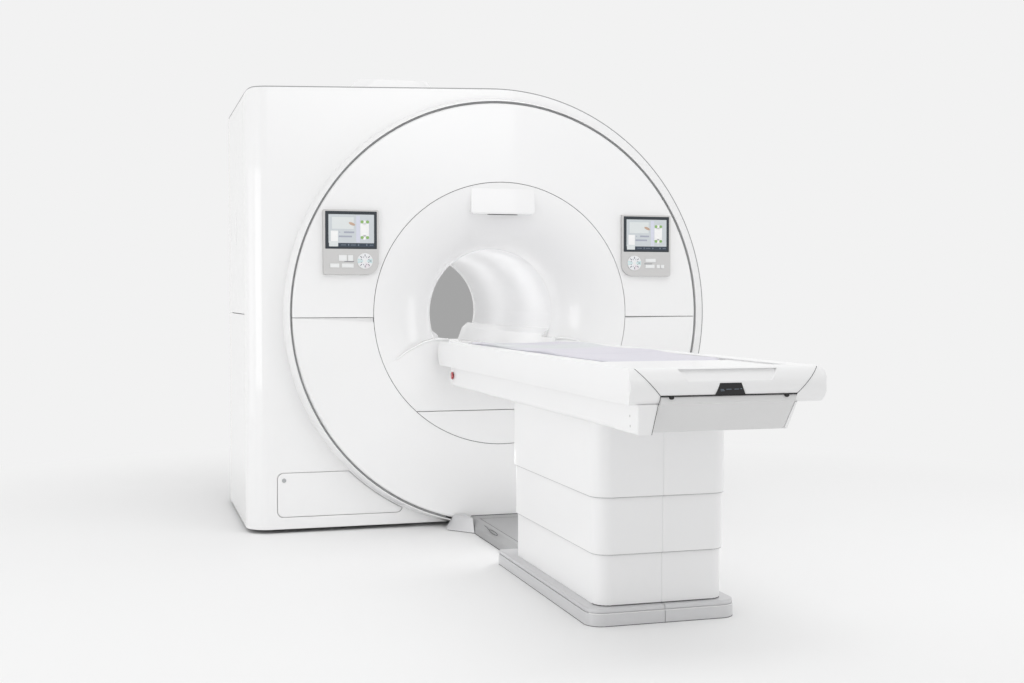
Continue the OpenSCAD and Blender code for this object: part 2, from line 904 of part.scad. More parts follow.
// Keys of each panel: inner edge from the panel's inner edge, lower edge from its lower edge, width, height
left_keys = [[157, 66, 39, 29], [127, 66, 24, 29], [194, 34, 44, 20], [124, 34, 57, 20]];
right_keys = [[130, 72, 56, 18], [130, 41, 50, 18], [192, 41, 18, 18], [216, 41, 18, 18]];

module key_outline(key, grow) {
    translate([panel_x + key[0] - grow, panel_z + key[1] - grow])
        rounded(key[2] + 2 * grow, key[3] + 2 * grow, key_r + grow);
}

module screen_outline(grow) {
    translate([panel_x + screen_side - grow, panel_z + screen_up - grow])
        rounded(panel_w - 2 * screen_side + 2 * grow, panel_h - screen_up - screen_over + 2 * grow, 3 + grow);
}

// One panel's housing, drawn on the right
module panel_housing(keys) {
    color("silver") difference() {
        along_y(panel_face_y, front_y + panel_back) panel_outline(0);
        along_y(panel_face_y - 1, panel_face_y + screen_t) screen_outline(fit);
        for (k = keys)
            along_y(panel_face_y - 1, panel_face_y + key_deep + key_travel + clear) key_outline(k, key_gap);
        translate([dial_x, panel_face_y - 1, dial_z]) rotate([-90, 0, 0])
            cylinder(r = dial_r + key_gap, h = dial_t - dial_proud + key_gap + 1);
    }
}

module panel_key(key) {
    color("white") along_y(panel_face_y - key_proud, panel_face_y + key_deep) key_outline(key, 0);
}

module panel_display() {
    color("darkslategray") along_y(panel_face_y + 0.5, panel_face_y + screen_t - fit) screen_outline(0);
}

module panel_dial() {
    dimple_x = 0.74 * dial_r;
    dimple_r = 5;
    dimple_d = 0.6;
    color("white") translate([dial_x, panel_face_y - dial_proud, dial_z]) rotate([-90, 0, 0]) difference() {
        cylinder(r = dial_r, h = dial_t);
        for (a = [0:45:315])
            rotate([0, 0, a]) translate([dimple_x, 0, -1]) cylinder(r = dimple_r, h = dimple_d + 1);
    }
}

// Draws a panel's piece on the left, as the mirror image of the right
module on_left() {
    mirror([1, 0, 0]) children();
}

// Table

rail_side = 9;
rail_in = deck_w + rail_side;
frame_top = rail_low - fit;
rail_bow = 200;
end_bow = 75;
rail_core = 60;
table_mid_z = (rail_top + rail_low) / 2;

// Section of the table top across X, bowed outwards at its sides
module table_section(inset) {
    h = rail_top - rail_low - 2 * inset;
    bow = rail_bow - inset;
    core = table_w - rail_core;
    translate([-core, rail_low + inset]) square([2 * core, h]);
    for (side = [-1, 1]) intersection() {
        translate([side > 0 ? core - 1 : -table_w, rail_low + inset]) square([table_w - core + 1, h]);
        translate([side * (table_w - rail_bow), table_mid_z]) circle(bow, $fn = 180);
    }
}

// The table top as one block, drawn in by inset, with a bowed and rounded foot end
module table_block(inset) {
    foot_x0 = -table_w + inset;
    bend = max(foot_corner - inset, least_r);
    intersection() {
        along_y(foot_end_y - 1, table_y - inset) table_section(inset);
        translate([foot_x0, foot_end_y + inset, 0]) linear_extrude(far) {
            translate([bend, bend]) circle(bend);
            translate([2 * (table_w - inset) - bend, bend]) circle(bend);
            translate([bend, 0]) square([2 * (table_w - inset - bend), bend + 1]);
            translate([0, bend]) square([2 * (table_w - inset), table_l]);
        }
        along_x(-table_w, table_w) {
            translate([foot_end_y + end_bow, table_mid_z]) intersection() {
                circle(end_bow - inset, $fn = 180);
                translate([-end_bow, inset - (rail_top - rail_low) / 2])
                    square([end_bow, rail_top - rail_low - 2 * inset]);
            }
            translate([foot_end_y + end_bow - 1, 0]) square([table_l, far]);
        }
    }
}

cap_low = 848;
cap_w_low = 236;
cap_w_top = 318;

// Outline of the foot cover from the foot end
module cap_outline(grow) {
    slant = (cap_w_top - cap_w_low) / (rail_top - cap_low);
    over = 5;
    top_w = cap_w_top + grow + slant * over;
    polygon([
        [-cap_w_low - grow, cap_low - grow], [cap_w_low + grow, cap_low - grow],
        [top_w, rail_top + over], [-top_w, rail_top + over]
    ]);
}

// One rail cover with its foot corner, on the left
module rail_cover() {
    skin = 10;
    color("white") difference() {
        intersection() {
            table_block(0);
            box([-far, -far * 2, 0], [0, far, far]);
        }
        intersection() {
            table_block(skin);
            box([-far, -far * 2, 0], [-rail_in - skin, far, far]);
        }
        box([-rail_in, cap_back_y - 1, 0], [1, far, far]);
        along_y(foot_end_y - 10, cap_back_y) cap_outline(1);
        box([-cap_w_low - 1, foot_end_y - 10, 0], [1, cap_back_y, cap_low + 1]);
    }
}

module rail_cover_left() {
    rail_cover();
}

module rail_cover_right() {
    on_left() rail_cover();
}

grip_w = 172;
grip_slope = 28;
grip_low = 893;
grip_top = 930;
grip_d = 62;
foot_screen_d = 8;
foot_screen_w = 51;
foot_screen_top_w = 37;
screen_low = cap_low + 1;
screen_top = 886;

// Outline of the small display on the foot cover
module foot_screen_outline(grow) {
    polygon([
        [-foot_screen_w - grow, screen_low - grow], [foot_screen_w + grow, screen_low - grow],
        [foot_screen_top_w + grow, screen_top + grow], [-foot_screen_top_w - grow, screen_top + grow]
    ]);
}

module foot_cover() {
    color("white") difference() {
        intersection() {
            table_block(0);
            along_y(foot_end_y - 10, cap_back_y - clear) cap_outline(0);
        }
        along_y(foot_end_y - 10, foot_end_y + grip_d) polygon([
            [-grip_w + grip_slope, grip_low], [grip_w - grip_slope, grip_low],
            [grip_w, grip_top], [-grip_w, grip_top]
        ]);
        along_y(foot_end_y - 10, foot_end_y + foot_screen_d) foot_screen_outline(fit);
    }
}

module foot_display() {
    color("black") along_y(foot_end_y - 0.5, foot_end_y + foot_screen_d - fit) foot_screen_outline(0);
}

frame_back = 130;
toe_in = 91;
brow_in = 16;
frame_near_y = table_y - frame_back;
frame_toe_y = foot_end_y + toe_in;
frame_brow_y = foot_end_y + brow_in;

// Section of the cover under the foot end, drawn out by grow
module under_section(grow) {
    hook = 8;
    hook_t = 12;
    skin = 14;
    line_gap = 1.5;
    top = cap_low - line_gap + grow;
    polygon([
        [frame_toe_y - grow, frame_low + fit - grow], [frame_brow_y - grow, rail_low + 2 - grow],
        [frame_brow_y - hook - grow, rail_low + 2 - grow], [frame_brow_y - hook - grow, top],
        [frame_brow_y + hook_t + grow, top], [frame_brow_y + hook_t + grow, rail_low - 2],
        [frame_toe_y + skin + grow, frame_low + fit - grow]
    ]);
}

module foot_under_cover() {
    color("white") along_x(-cap_w_low, cap_w_low) under_section(0);
}

stop_back = 180;
stop_y = table_y - stop_back;
stop_z = 778;
stop_r = 19;
stop_travel = 4;
stop_stem_r = 8;
frame_skin = 10;

module table_frame() {
    bend = 18;
    near_slope = 25;
    beak = 6;
    top_turn = frame_brow_y + 145;
    top_mid = [280, frame_brow_y + 75];
    top_end = [240, frame_brow_y - beak];
    low_turn = frame_toe_y + 120;
    low_mid = [265, frame_toe_y + 30];
    low_end = [244, frame_toe_y - 5];
    spine_w = deck_w;
    spine_low = frame_low + 80;
    hollow_toe = 60;
    hollow_ahead = 4;
    // Plan of the frame at one height: straight sides that turn in towards the foot end
    module plan(turn_y, mid, end) {
        side = [[end[0], end[1]], [mid[0], mid[1]], [frame_w, turn_y], [frame_w, 0]];
        polygon(concat(side, mirrored(side)));
    }
    color("white") difference() {
        union() {
            intersection() {
                along_x(-frame_w, frame_w) polygon([
                    [frame_near_y, frame_top], [frame_near_y, frame_low + near_slope],
                    [frame_near_y - near_slope, frame_low], [frame_toe_y, frame_low], [frame_brow_y, frame_top]
                ]);
                along_y(-far * 2, 0) translate([-frame_w, frame_low]) rounded(2 * frame_w, far / 10, bend);
                hull() {
                    translate([0, 0, frame_top]) linear_extrude(1) plan(top_turn, top_mid, top_end);
                    translate([0, 0, frame_low - 1]) linear_extrude(1) plan(low_turn, low_mid, low_end);
                }
            }
            box([-spine_w, cap_back_y + clear, spine_low], [spine_w, table_y, deck_z]);
        }
        box([-frame_w + frame_skin, low_turn, frame_low + frame_skin],
            [frame_w - frame_skin, frame_near_y - frame_skin, frame_top - frame_skin]);
        box([-spine_w + frame_skin, frame_toe_y + hollow_toe, frame_low + frame_skin],
            [spine_w - frame_skin, frame_near_y - frame_skin, deck_z - frame_skin]);
        along_x(-cap_w_low - clear, cap_w_low + clear) {
            under_section(clear);
            translate([-hollow_ahead, 0]) under_section(clear);
        }
        translate([-frame_w - 1, stop_y, stop_z]) rotate([0, 90, 0])
            cylinder(r = stop_stem_r + fit, h = frame_skin + 2);
    }
}

module stop_button() {
    head = 5;
    rim = 2;
    color("crimson") translate([-frame_w - stop_travel - head, stop_y, stop_z]) rotate([0, 90, 0]) {
        cylinder(r1 = stop_r - rim, r2 = stop_r, h = rim);
        translate([0, 0, rim]) cylinder(r = stop_r, h = head - rim - clear);
        translate([0, 0, head - 1]) cylinder(r = stop_stem_r, h = stop_travel + stop_stem_r);
    }
}

// The drive for the cradle: a belt over two pulleys, with its motor
module cradle_drive() {
    r = 28;
    belt_w = 40;
    belt_t = 3;
    belt_drop = 60;
    pulley_w = 50;
    near_in = 90;
    away_in = 150;
    motor_x = 35;
    motor_r = 38;
    motor_l = 70;
    shaft_r = 12;
    axle_r = 10;
    post_x = 60;
    post_w = 35;
    post_half = 30;
    cheek_t = 8;
    cheek_half = 15;
    cheek_x = 30;
    belt_z = deck_z - belt_drop;
    near = frame_near_y - near_in;
    away = frame_toe_y + away_in;
    low = frame_low + frame_skin + fit;
    color("darkslategray") {
        for (y = [near, away])
            translate([-pulley_w / 2, y, belt_z]) rotate([0, 90, 0]) cylinder(r = r, h = pulley_w);
        for (z = [-r - 2, r - 1])
            box([-belt_w / 2, away - 1, belt_z + z], [belt_w / 2, near + 1, belt_z + z + belt_t]);
        difference() {
            for (y = [near, away])
                translate([-belt_w / 2, y, belt_z]) rotate([0, 90, 0]) cylinder(r = r + 2, h = belt_w);
            box([-belt_w, away, belt_z - 2 * r], [belt_w, near, belt_z + 2 * r]);
        }
        translate([belt_w / 2, away, belt_z]) rotate([0, 90, 0]) cylinder(r = shaft_r, h = motor_x - belt_w / 2 + 5);
        translate([motor_x, away, belt_z]) rotate([0, 90, 0]) cylinder(r = motor_r, h = motor_l);
        translate([-cheek_x - 3, near, belt_z]) rotate([0, 90, 0]) cylinder(r = axle_r, h = 2 * cheek_x + 6);
        box([post_x, away - post_half, low], [post_x + post_w, away + post_half, belt_z - motor_r + 8]);
        for (x = [-cheek_x - cheek_t - 2, cheek_x])
            box([x, near - cheek_half, low], [x + cheek_t, near + cheek_half, belt_z]);
    }
}

// Cradle and mattress

runner = 10;
runner_w = 30;
runner_x = 180;
cradle_drop = 4;
dish_rise = 20;
cradle_low = deck_z + 0.4;
cradle_top = rail_top - cradle_drop;
dish_z = deck_z + dish_rise;
pad_corner = 60;

// The shallow dish that the mattress lies in, drawn in by inset
module dish(inset) {
    translate([0, dish_z + dish_r]) circle(dish_r - inset, $fn = 360);
}

module cradle() {
    chamfer = 50;
    color("white") difference() {
        along_y(cradle_foot_y, cradle_y) {
            translate([-cradle_w, cradle_low + runner])
                square([2 * cradle_w, cradle_top - cradle_low - runner]);
            for (x = [-runner_x - runner_w, runner_x])
                translate([x, cradle_low]) square([runner_w, runner + 1]);
        }
        along_y(pad_y - pad_l - clear, cradle_y + 1) dish(0);
        for (side = [-1, 1]) translate([side * cradle_w, cradle_y, 0]) rotate([0, 0, 45])
            translate([-chamfer / 2, -chamfer / 2, 0]) cube([chamfer, chamfer, far]);
    }
}

module mattress() {
    over = 5;
    color("lavender") intersection() {
        along_y(pad_y - pad_l - over, pad_y + over) difference() {
            intersection() {
                dish(fit);
                translate([-pad_w - over, 0]) square([2 * (pad_w + over), cradle_top + 50]);
            }
            translate([0, dish_z + pad_t + pad_dish_r]) circle(pad_dish_r, $fn = 360);
        }
        translate([-pad_w, pad_y - pad_l, 0]) linear_extrude(far) rounded(2 * pad_w, pad_l, pad_corner);
    }
}

// Pedestal

// Plan of a pedestal cover, stepped in from the upper one
module tier_plan(inset) {
    translate([-tier_w + inset, tier_near_y - tier_l + inset])
        rounded(2 * (tier_w - inset), tier_l - 2 * inset, tier_r - inset);
}

tier_lap = 24;

// One cover with its upright seam on the foot side
module tier(step, z0, z1) {
    inset = step * tier_step;
    far_y = tier_near_y - tier_l + inset;
    color("white") difference() {
        translate([0, 0, z0]) linear_extrude(z1 - z0) difference() {
            tier_plan(inset);
            tier_plan(inset + tier_wall);
        }
        box([-1, far_y - 1, z0 - 1], [1, far_y + 2, z1 + 1]);
    }
}

module upper_tier_cover() {
    tier(0, tier_seam_2, frame_low - fit);
}

module middle_tier_cover() {
    tier(1, tier_seam_1, tier_seam_2 + tier_lap);
}

module lower_tier_cover() {
    tier(2, base_t + fit, tier_seam_1 + tier_lap);
}

column_half = 90;
column_wall = 9.5;
stage_half = column_half - column_wall - clear;
ram_half = stage_half - column_wall - clear;
column_gap = 12;
stage_gap = 6;
ram_gap = 10;
column_top = frame_low - lift_travel - column_gap;
stage_rise = lift_travel / 2;

// A square tube of the lifting column
module lift_tube(half, z0, z1) {
    translate([0, tier_mid_y, z0]) linear_extrude(z1 - z0) difference() {
        square(2 * half, center = true);
        square(2 * (half - column_wall), center = true);
    }
}

module lift_column() {
    flange = column_half + 40;
    flange_t = 12;
    hollow = column_half - 1;
    color("slategray") {
        lift_tube(column_half, base_t + fit, column_top);
        difference() {
            box([-flange, tier_mid_y - flange, base_t + fit], [flange, tier_mid_y + flange, base_t + flange_t]);
            box([-hollow, tier_mid_y - hollow, base_t], [hollow, tier_mid_y + hollow, base_t + flange_t + 1]);
        }
    }
}

module lift_stage() {
    color("silver") lift_tube(stage_half, base_t + stage_gap + stage_rise, column_top + stage_gap + stage_rise);
}

module lift_ram() {
    color("lightgray") lift_tube(ram_half, base_t + ram_gap + lift_travel, frame_low - fit);
}

module table_base() {
    lip = 6;
    lip_z = 46;
    rim_up = 4;
    rim_down = 2;
    bend = 62;
    hole_x = 200;
    hole_y = 400;
    // Plan of the base: round at the foot end, square where it meets the bridge
    module plan(inset) {
        w = base_w - inset;
        l = base_near_y - base_far_y - inset;
        r = bend - inset;
        translate([-w, base_far_y + inset]) {
            for (x = [r, 2 * w - r]) translate([x, r]) circle(r);
            translate([r, 0]) square([2 * (w - r), r + 1]);
            translate([0, r]) square([2 * w, l - r]);
        }
    }
    color("silver") difference() {
        union() {
            linear_extrude(lip_z) plan(0);
            linear_extrude(base_t) plan(lip);
            translate([0, 0, lip_z + rim_up]) linear_extrude(base_t - lip_z - rim_up - rim_down) plan(rim_down);
        }
        box([-1, -far * 2, -1], [1, far, base_t + 1]);
        for (x = [-hole_x, hole_x], y = [-hole_y, hole_y])
            translate([x, tier_mid_y + y, -1]) cylinder(r = base_hole_r, h = base_t + 2);
    }
}

module floor_bridge() {
    // The disc's face is conical: this is its place at the height of the bridge's top
    face_back = disc_bulge * (bore_h - bridge_h - ring_r - seam) / (disc_r - disc_edge_r - ring_r - seam);
    bend_in = 6;
    bend_z = 34;
    top_in = 30;
    color("gray") along_y(base_near_y + clear, front_y + face_back - fit) polygon([
        [-bridge_w, 0], [bridge_w, 0], [bridge_w - bend_in, bend_z], [bridge_w - top_in, bridge_h],
        [-bridge_w + top_in, bridge_h], [-bridge_w + bend_in, bend_z]
    ]);
}

module bridge_brackets() {
    inner = bridge_w + clear;
    low_l = 175;
    top_l = 140;
    low_end = 48;
    top_end = 44;
    top_w = bracket_w - 45;
    rise = 13;
    color("silver") for (side = [0, 1]) mirror([side, 0, 0])
        hull() {
            translate([0, front_y, 0]) linear_extrude(1)
                polygon([[inner, -clear], [inner, -low_l], [bracket_w, -low_end], [bracket_w, -clear]]);
            translate([0, front_y, bridge_h + rise]) linear_extrude(1)
                polygon([[inner, -clear], [inner, -top_l], [top_w, -top_end], [top_w, -clear]]);
        }
}

// Nodes

front_cover();
disc_joint_seal();
disc_cover_upper();
disc_cover_lower();
bore_funnel();
apron_cover();
lower_front_panel();
laser_visor();
laser_window();
bore_liner();
body_coil();
gradient_coil();
magnet_vessel();
magnet_coils();
cold_head();
turret_cover();
roof_cover();
left_upper_cover();
left_lower_cover();
right_cover();
rear_cover();
rear_funnel();
bore_bridge();
cover_frame();
service_hatch();
hatch_lock();
on_left() panel_housing(left_keys);  // left_panel_housing
on_left() panel_display();  // left_display
on_left() panel_dial();  // left_dial
on_left() panel_key(left_keys[0]);  // left_key_1
on_left() panel_key(left_keys[1]);  // left_key_2
on_left() panel_key(left_keys[2]);  // left_key_3
on_left() panel_key(left_keys[3]);  // left_key_4
panel_housing(right_keys);  // right_panel_housing
panel_display();  // right_display
panel_dial();  // right_dial
panel_key(right_keys[0]);  // right_key_1
panel_key(right_keys[1]);  // right_key_2
panel_key(right_keys[2]);  // right_key_3
panel_key(right_keys[3]);  // right_key_4
table_base();
floor_bridge();
bridge_brackets();
lower_tier_cover();
middle_tier_cover();
upper_tier_cover();
lift_column();
lift_stage();
lift_ram();
table_frame();
rail_cover_left();
rail_cover_right();
foot_cover();
foot_under_cover();
foot_display();
cradle();
mattress();
cradle_drive();
stop_button();
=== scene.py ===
# %% [markdown]
# # A magnet scanner with its patient table
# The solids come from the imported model, and this script gives them their looks. It works through
# the scanner as a fitter would: the room first, then the finishes, then each cover, panel and pad.

# %% Load the frame
import json
import math

import bmesh
import bpy
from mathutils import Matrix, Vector, noise


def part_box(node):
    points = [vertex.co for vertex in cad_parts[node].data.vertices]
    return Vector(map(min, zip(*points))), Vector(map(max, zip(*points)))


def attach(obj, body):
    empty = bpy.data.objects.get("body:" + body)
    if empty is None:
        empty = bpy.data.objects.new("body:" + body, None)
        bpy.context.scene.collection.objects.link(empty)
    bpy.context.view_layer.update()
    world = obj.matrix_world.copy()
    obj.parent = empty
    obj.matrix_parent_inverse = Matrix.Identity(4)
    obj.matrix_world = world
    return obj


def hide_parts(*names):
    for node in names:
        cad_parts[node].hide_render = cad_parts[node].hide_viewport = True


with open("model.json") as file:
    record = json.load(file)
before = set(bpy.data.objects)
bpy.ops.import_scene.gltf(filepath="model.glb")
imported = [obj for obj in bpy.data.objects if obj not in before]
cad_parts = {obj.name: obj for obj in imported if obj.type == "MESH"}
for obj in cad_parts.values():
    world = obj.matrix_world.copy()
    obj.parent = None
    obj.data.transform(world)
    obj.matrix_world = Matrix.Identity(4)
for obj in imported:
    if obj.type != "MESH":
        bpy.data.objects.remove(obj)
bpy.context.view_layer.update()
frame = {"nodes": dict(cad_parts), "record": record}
nodes = frame["nodes"]
scene = bpy.context.scene
scene.view_settings.view_transform = "Standard"

# %% [markdown]
# ## Small helpers
# Materials, node groups and the room are all built in the same way: a node is added with its
# settings, and each of its inputs gets a value or a link. A few helpers take up what repeats.

# %% Nodes, links and objects


def fill(tree, node, inputs):
    """Gives a node's inputs their values or links."""
    for place, value in inputs.items():
        if isinstance(value, bpy.types.NodeSocket):
            tree.links.new(value, node.inputs[place])
        else:
            node.inputs[place].default_value = value
    return node


def add(tree, kind, inputs=None, **settings):
    """A new shader node with its settings, and with a value or a link at its inputs."""
    node = tree.nodes.new("ShaderNode" + kind)
    for name, value in settings.items():
        setattr(node, name, value)
    return fill(tree, node, inputs or {})


def calc(tree, operation, first, second=0.0, **settings):
    """The result of a small calculation with two values."""
    return add(tree, "Math", {0: first, 1: second}, operation=operation, **settings).outputs[0]


def ranged(tree, value, low=0.0, high=1.0, start=0.0, end=1.0, soft=False):
    """Maps a value from one range to another, in a straight line or with soft ends."""
    return add(
        tree, "MapRange",
        {"Value": value, "From Min": start, "From Max": end, "To Min": low, "To Max": high},
        interpolation_type="SMOOTHSTEP" if soft else "LINEAR").outputs["Result"]


def blend(tree, factor, first, second):
    """Two colours mixed by a factor."""
    return add(tree, "Mix", {"Factor": factor, "A": first, "B": second}, data_type="RGBA").outputs["Result"]


def mixed(tree, factor, first, second):
    """Two shaders mixed by a factor."""
    return add(tree, "MixShader", {0: factor, 1: first.outputs[0], 2: second.outputs[0]}).outputs[0]


def rgba(colour):
    """A colour with its alpha, from three parts or from one number for a grey."""
    return (colour, colour, colour, 1) if isinstance(colour, float) else (*colour, 1)


def node_material(name):
    """A new material with an empty tree."""
    mat = bpy.data.materials.new(name)
    mat.use_nodes = True
    mat.node_tree.nodes.clear()
    return mat, mat.node_tree


def link(obj):
    """Puts an object in the scene."""
    scene.collection.objects.link(obj)
    return obj


def hide(obj, *rays):
    """Hides an object from some kinds of rays."""
    for ray in rays:
        setattr(obj, f"visible_{ray}", False)


def shares(count):
    """Even steps from 0 to 1."""
    return [step / count for step in range(count + 1)]


# %% [markdown]
# ## The camera
# The photograph was taken from about chest height, to the left of the table's foot end. A normal
# lens of 46 mm on a 36 mm sensor gives the same spread of the far gantry against the near table.

# %% Place the camera
EYE = (-1.8465, -7.3446, 1.1583)
LENS_MM = 46.3
SENSOR_MM = 36
FAR_CLIP = 200
TILT_DOWN = 1.95
TURN_RIGHT = 16.56
lens = bpy.data.cameras.new("camera")
lens.lens = LENS_MM
lens.sensor_width = SENSOR_MM
lens.clip_end = FAR_CLIP
camera = link(bpy.data.objects.new("camera", lens))
camera.location = EYE
camera.rotation_euler = (math.radians(90 - TILT_DOWN), 0, math.radians(-TURN_RIGHT))
scene.camera = camera
print("camera", EYE)

# %% [markdown]
# ## Room and light
# One broad floor is both floor and wall: near the scanner it is matt and takes the shadow, and further
# out it fades into the backdrop's colour. Only camera and mirror rays see that colour, so it adds no
# light to the object. The room's own light is weaker from the front, so nothing there is washed out.

# %% Backdrop and floor
BACKDROP = 0.888
WORLD_LIGHT = 0.97
WORLD_FRONT = 0.69
FRONT_ENDS = 0.2
FLOOR_MATT = 0.87
FLOOR_MIDDLE = (0.0, -1.2, 0.0)
FLOOR_HALF = 60
FADE_START = 2.3
FADE_END = 4.3


def seen_colour(tree):
    """1 for rays that come from the camera, a mirror or glass, and 0 for light that bounces."""
    path = add(tree, "LightPath").outputs
    first = calc(tree, "MAXIMUM", path["Is Camera Ray"], path["Is Glossy Ray"])
    return calc(tree, "MAXIMUM", first, path["Is Transmission Ray"])


def card(name, corners, material):
    """A flat four-cornered piece of the studio."""
    mesh = bpy.data.meshes.new(name)
    mesh.from_pydata(corners, [], [(0, 1, 2, 3)])
    layer = mesh.uv_layers.new(name="card")
    for loop, uv in zip(layer.data, ((0, 0), (1, 0), (1, 1), (0, 1))):
        loop.uv = uv
    mesh.materials.append(material)
    obj = link(bpy.data.objects.new(name, mesh))
    return obj


world = bpy.data.worlds.new("studio")
world.use_nodes = True
scene.world = world
sky = world.node_tree
sky.nodes.clear()
towards = add(sky, "SeparateXYZ", {0: add(sky, "TexCoord").outputs["Generated"]}).outputs["Y"]
dimmer = ranged(sky, towards, WORLD_FRONT, WORLD_LIGHT, -1.0, FRONT_ENDS)
ambient = add(sky, "Background", {"Color": rgba(1.0), "Strength": dimmer})
backdrop = add(sky, "Background", {"Color": rgba(BACKDROP), "Strength": 1})
add(sky, "OutputWorld", {"Surface": mixed(sky, seen_colour(sky), ambient, backdrop)})

floor_mat, tree = node_material("studio_floor")
matt = add(tree, "BsdfDiffuse", {"Color": rgba(FLOOR_MATT)})
glow = add(tree, "Emission", {"Color": rgba(BACKDROP)})
place = add(tree, "NewGeometry").outputs["Position"]
reach = add(tree, "VectorMath", {0: place, 1: FLOOR_MIDDLE}, operation="DISTANCE").outputs["Value"]
fade = ranged(tree, reach, start=FADE_START, end=FADE_END, soft=True)
far_seen = calc(tree, "MULTIPLY", fade, seen_colour(tree))
add(tree, "OutputMaterial", {"Surface": mixed(tree, far_seen, matt, glow)})
floor_corners = ((-1, -1), (1, -1), (1, 1), (-1, 1))
floor = card("studio_floor", [(x * FLOOR_HALF, y * FLOOR_HALF, 0) for x, y in floor_corners], floor_mat)
print("floor", floor.name)

# %% [markdown]
# One soft lamp hangs between the table and the magnet, so the magnet's front is brighter than the
# table's foot end. Others stand at the left and the right, a weak one under the table lifts the shade
# on the magnet's foot, and small ones in the bore stand for the scanner's own bore light.

# %% Lamps
LAMPS = (
    ("front_box", (0.8, -3.4, 4.2), (0.35, -0.9, 1.0), (3.6, 1.4), 23, ("glossy",)),
    ("side_box", (-6.5, -0.6, 1.2), (-1.2, 0.0, 1.0), (3.0, 2.2), 14, ()),
    ("top_box", (0.5, -2.4, 6.5), (0.2, -1.6, 0.0), (5.0, 5.0), 32, ()),
    ("fill_box", (-5.5, -4.4, 1.3), (0.0, -1.2, 0.8), (3.0, 2.0), 35, ()),
    ("right_box", (5.0, -3.2, 1.2), (0.3, -1.9, 0.7), (2.0, 1.5), 12, ()),
    ("under_box", (-0.05, -1.96, 0.36), (-0.5, -0.9, 0.45), (0.5, 0.3), 2.0, ("camera", "glossy")),
)
for name, at, aim, size, power, hidden in LAMPS:
    light = bpy.data.lights.new(name, "AREA")
    light.shape = "RECTANGLE"
    light.size, light.size_y = size
    light.energy = power
    lamp = link(bpy.data.objects.new(name, light))
    lamp.location = at
    lamp.rotation_euler = (Vector(aim) - Vector(at)).to_track_quat("-Z", "Y").to_euler()
    hide(lamp, *hidden)

BULB_R = 0.12
BORE_LAMPS = ((0.0, -0.45, 0.08, 1.15), (0.0, 0.25, 0.08, 1.15), (-0.2, -0.55, -0.05, 0.35))
bore_low, bore_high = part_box("bore_liner")
bore_axis_z = (bore_low[2] + bore_high[2]) / 2
for index, (aside, depth, above, power) in enumerate(BORE_LAMPS):
    bulb = bpy.data.lights.new(f"bore_lamp_{index}", "POINT")
    bulb.energy = power
    bulb.shadow_soft_size = BULB_R
    bore_lamp = link(bpy.data.objects.new(f"bore_lamp_{index}", bulb))
    bore_lamp.location = (aside, depth, bore_axis_z + above)
    hide(bore_lamp, "camera", "glossy")
print("lamps", len(bpy.data.lights))

# %% [markdown]
# Two flat cards belong to the studio. The bright one is only seen in reflections and gives the glossy
# disc its clean sheen. The grey one stands close behind the bore, where the photograph shows the
# shaded wall of the room through the tube.

# %% Studio cards
CARD_LIGHT = 2.1
CARD_FADE_LEFT = 0.8
CARD_FADE_LOW = 0.5
CARD_Y = -7.3
CARD_LOW = (-2.4, 2.3)
CARD_HIGH = (2.0, 4.4)
ROOM_GREY = 0.378
ROOM_GAP = 0.02


def upright(y, low, high):
    """Corners of an upright rectangle across the scene."""
    return [(low[0], y, low[1]), (high[0], y, low[1]), (high[0], y, high[1]), (low[0], y, high[1])]


bright_mat, tree = node_material("bright_card")
split = add(tree, "SeparateXYZ", {0: add(tree, "TexCoord").outputs["UV"]}).outputs
from_left = ranged(tree, split["X"], end=CARD_FADE_LEFT, soft=True)
from_low = ranged(tree, split["Y"], end=CARD_FADE_LOW, soft=True)
shine = add(tree, "Emission", {"Strength": CARD_LIGHT})
clear = add(tree, "BsdfTransparent")
add(tree, "OutputMaterial", {
    "Surface": mixed(tree, calc(tree, "MULTIPLY", from_left, from_low), clear, shine)})
bright_card = card("bright_card", upright(CARD_Y, CARD_LOW, CARD_HIGH), bright_mat)
hide(bright_card, "camera", "diffuse", "transmission", "shadow", "volume_scatter")

room_mat, tree = node_material("room_behind")
shade = add(tree, "Emission", {"Color": rgba(ROOM_GREY)})
clear = add(tree, "BsdfTransparent")
ray = add(tree, "LightPath").outputs["Is Camera Ray"]
front_seen = calc(tree, "SUBTRACT", ray, add(tree, "NewGeometry").outputs["Backfacing"], use_clamp=True)
add(tree, "OutputMaterial", {"Surface": mixed(tree, front_seen, clear, shade)})
rear_low, rear_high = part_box("rear_funnel")
room_corners = upright(rear_high[1] + ROOM_GAP, (rear_low[0], rear_low[2]), (rear_high[0], rear_high[2]))
room_card = card("room_card", room_corners, room_mat)
hide(room_card, "shadow")
print("cards", bright_card.name, room_card.name)

# %% [markdown]
# ## Finishes
# Even a clean medical cover isn't one flat colour. The group below adds the fine orange peel of a
# sprayed shell, a faint cloudiness and a little change in gloss, each at a size the caller gives.

# %% A shared group for moulded and sprayed skins
CLOUD_SCALE = 2.2
PEEL_SCALE = 420.0


def new_group(name, inputs, outputs):
    """A shader node group with its sockets, ready for its inner nodes."""
    group = bpy.data.node_groups.new(name, "ShaderNodeTree")
    for direction, sockets in (("INPUT", inputs), ("OUTPUT", outputs)):
        for label, value in sockets.items():
            kind = "NodeSocketColor" if isinstance(value, tuple) else "NodeSocketFloat"
            group.interface.new_socket(label, in_out=direction, socket_type=kind).default_value = value
    return group, group.nodes.new("NodeGroupInput").outputs, group.nodes.new("NodeGroupOutput")


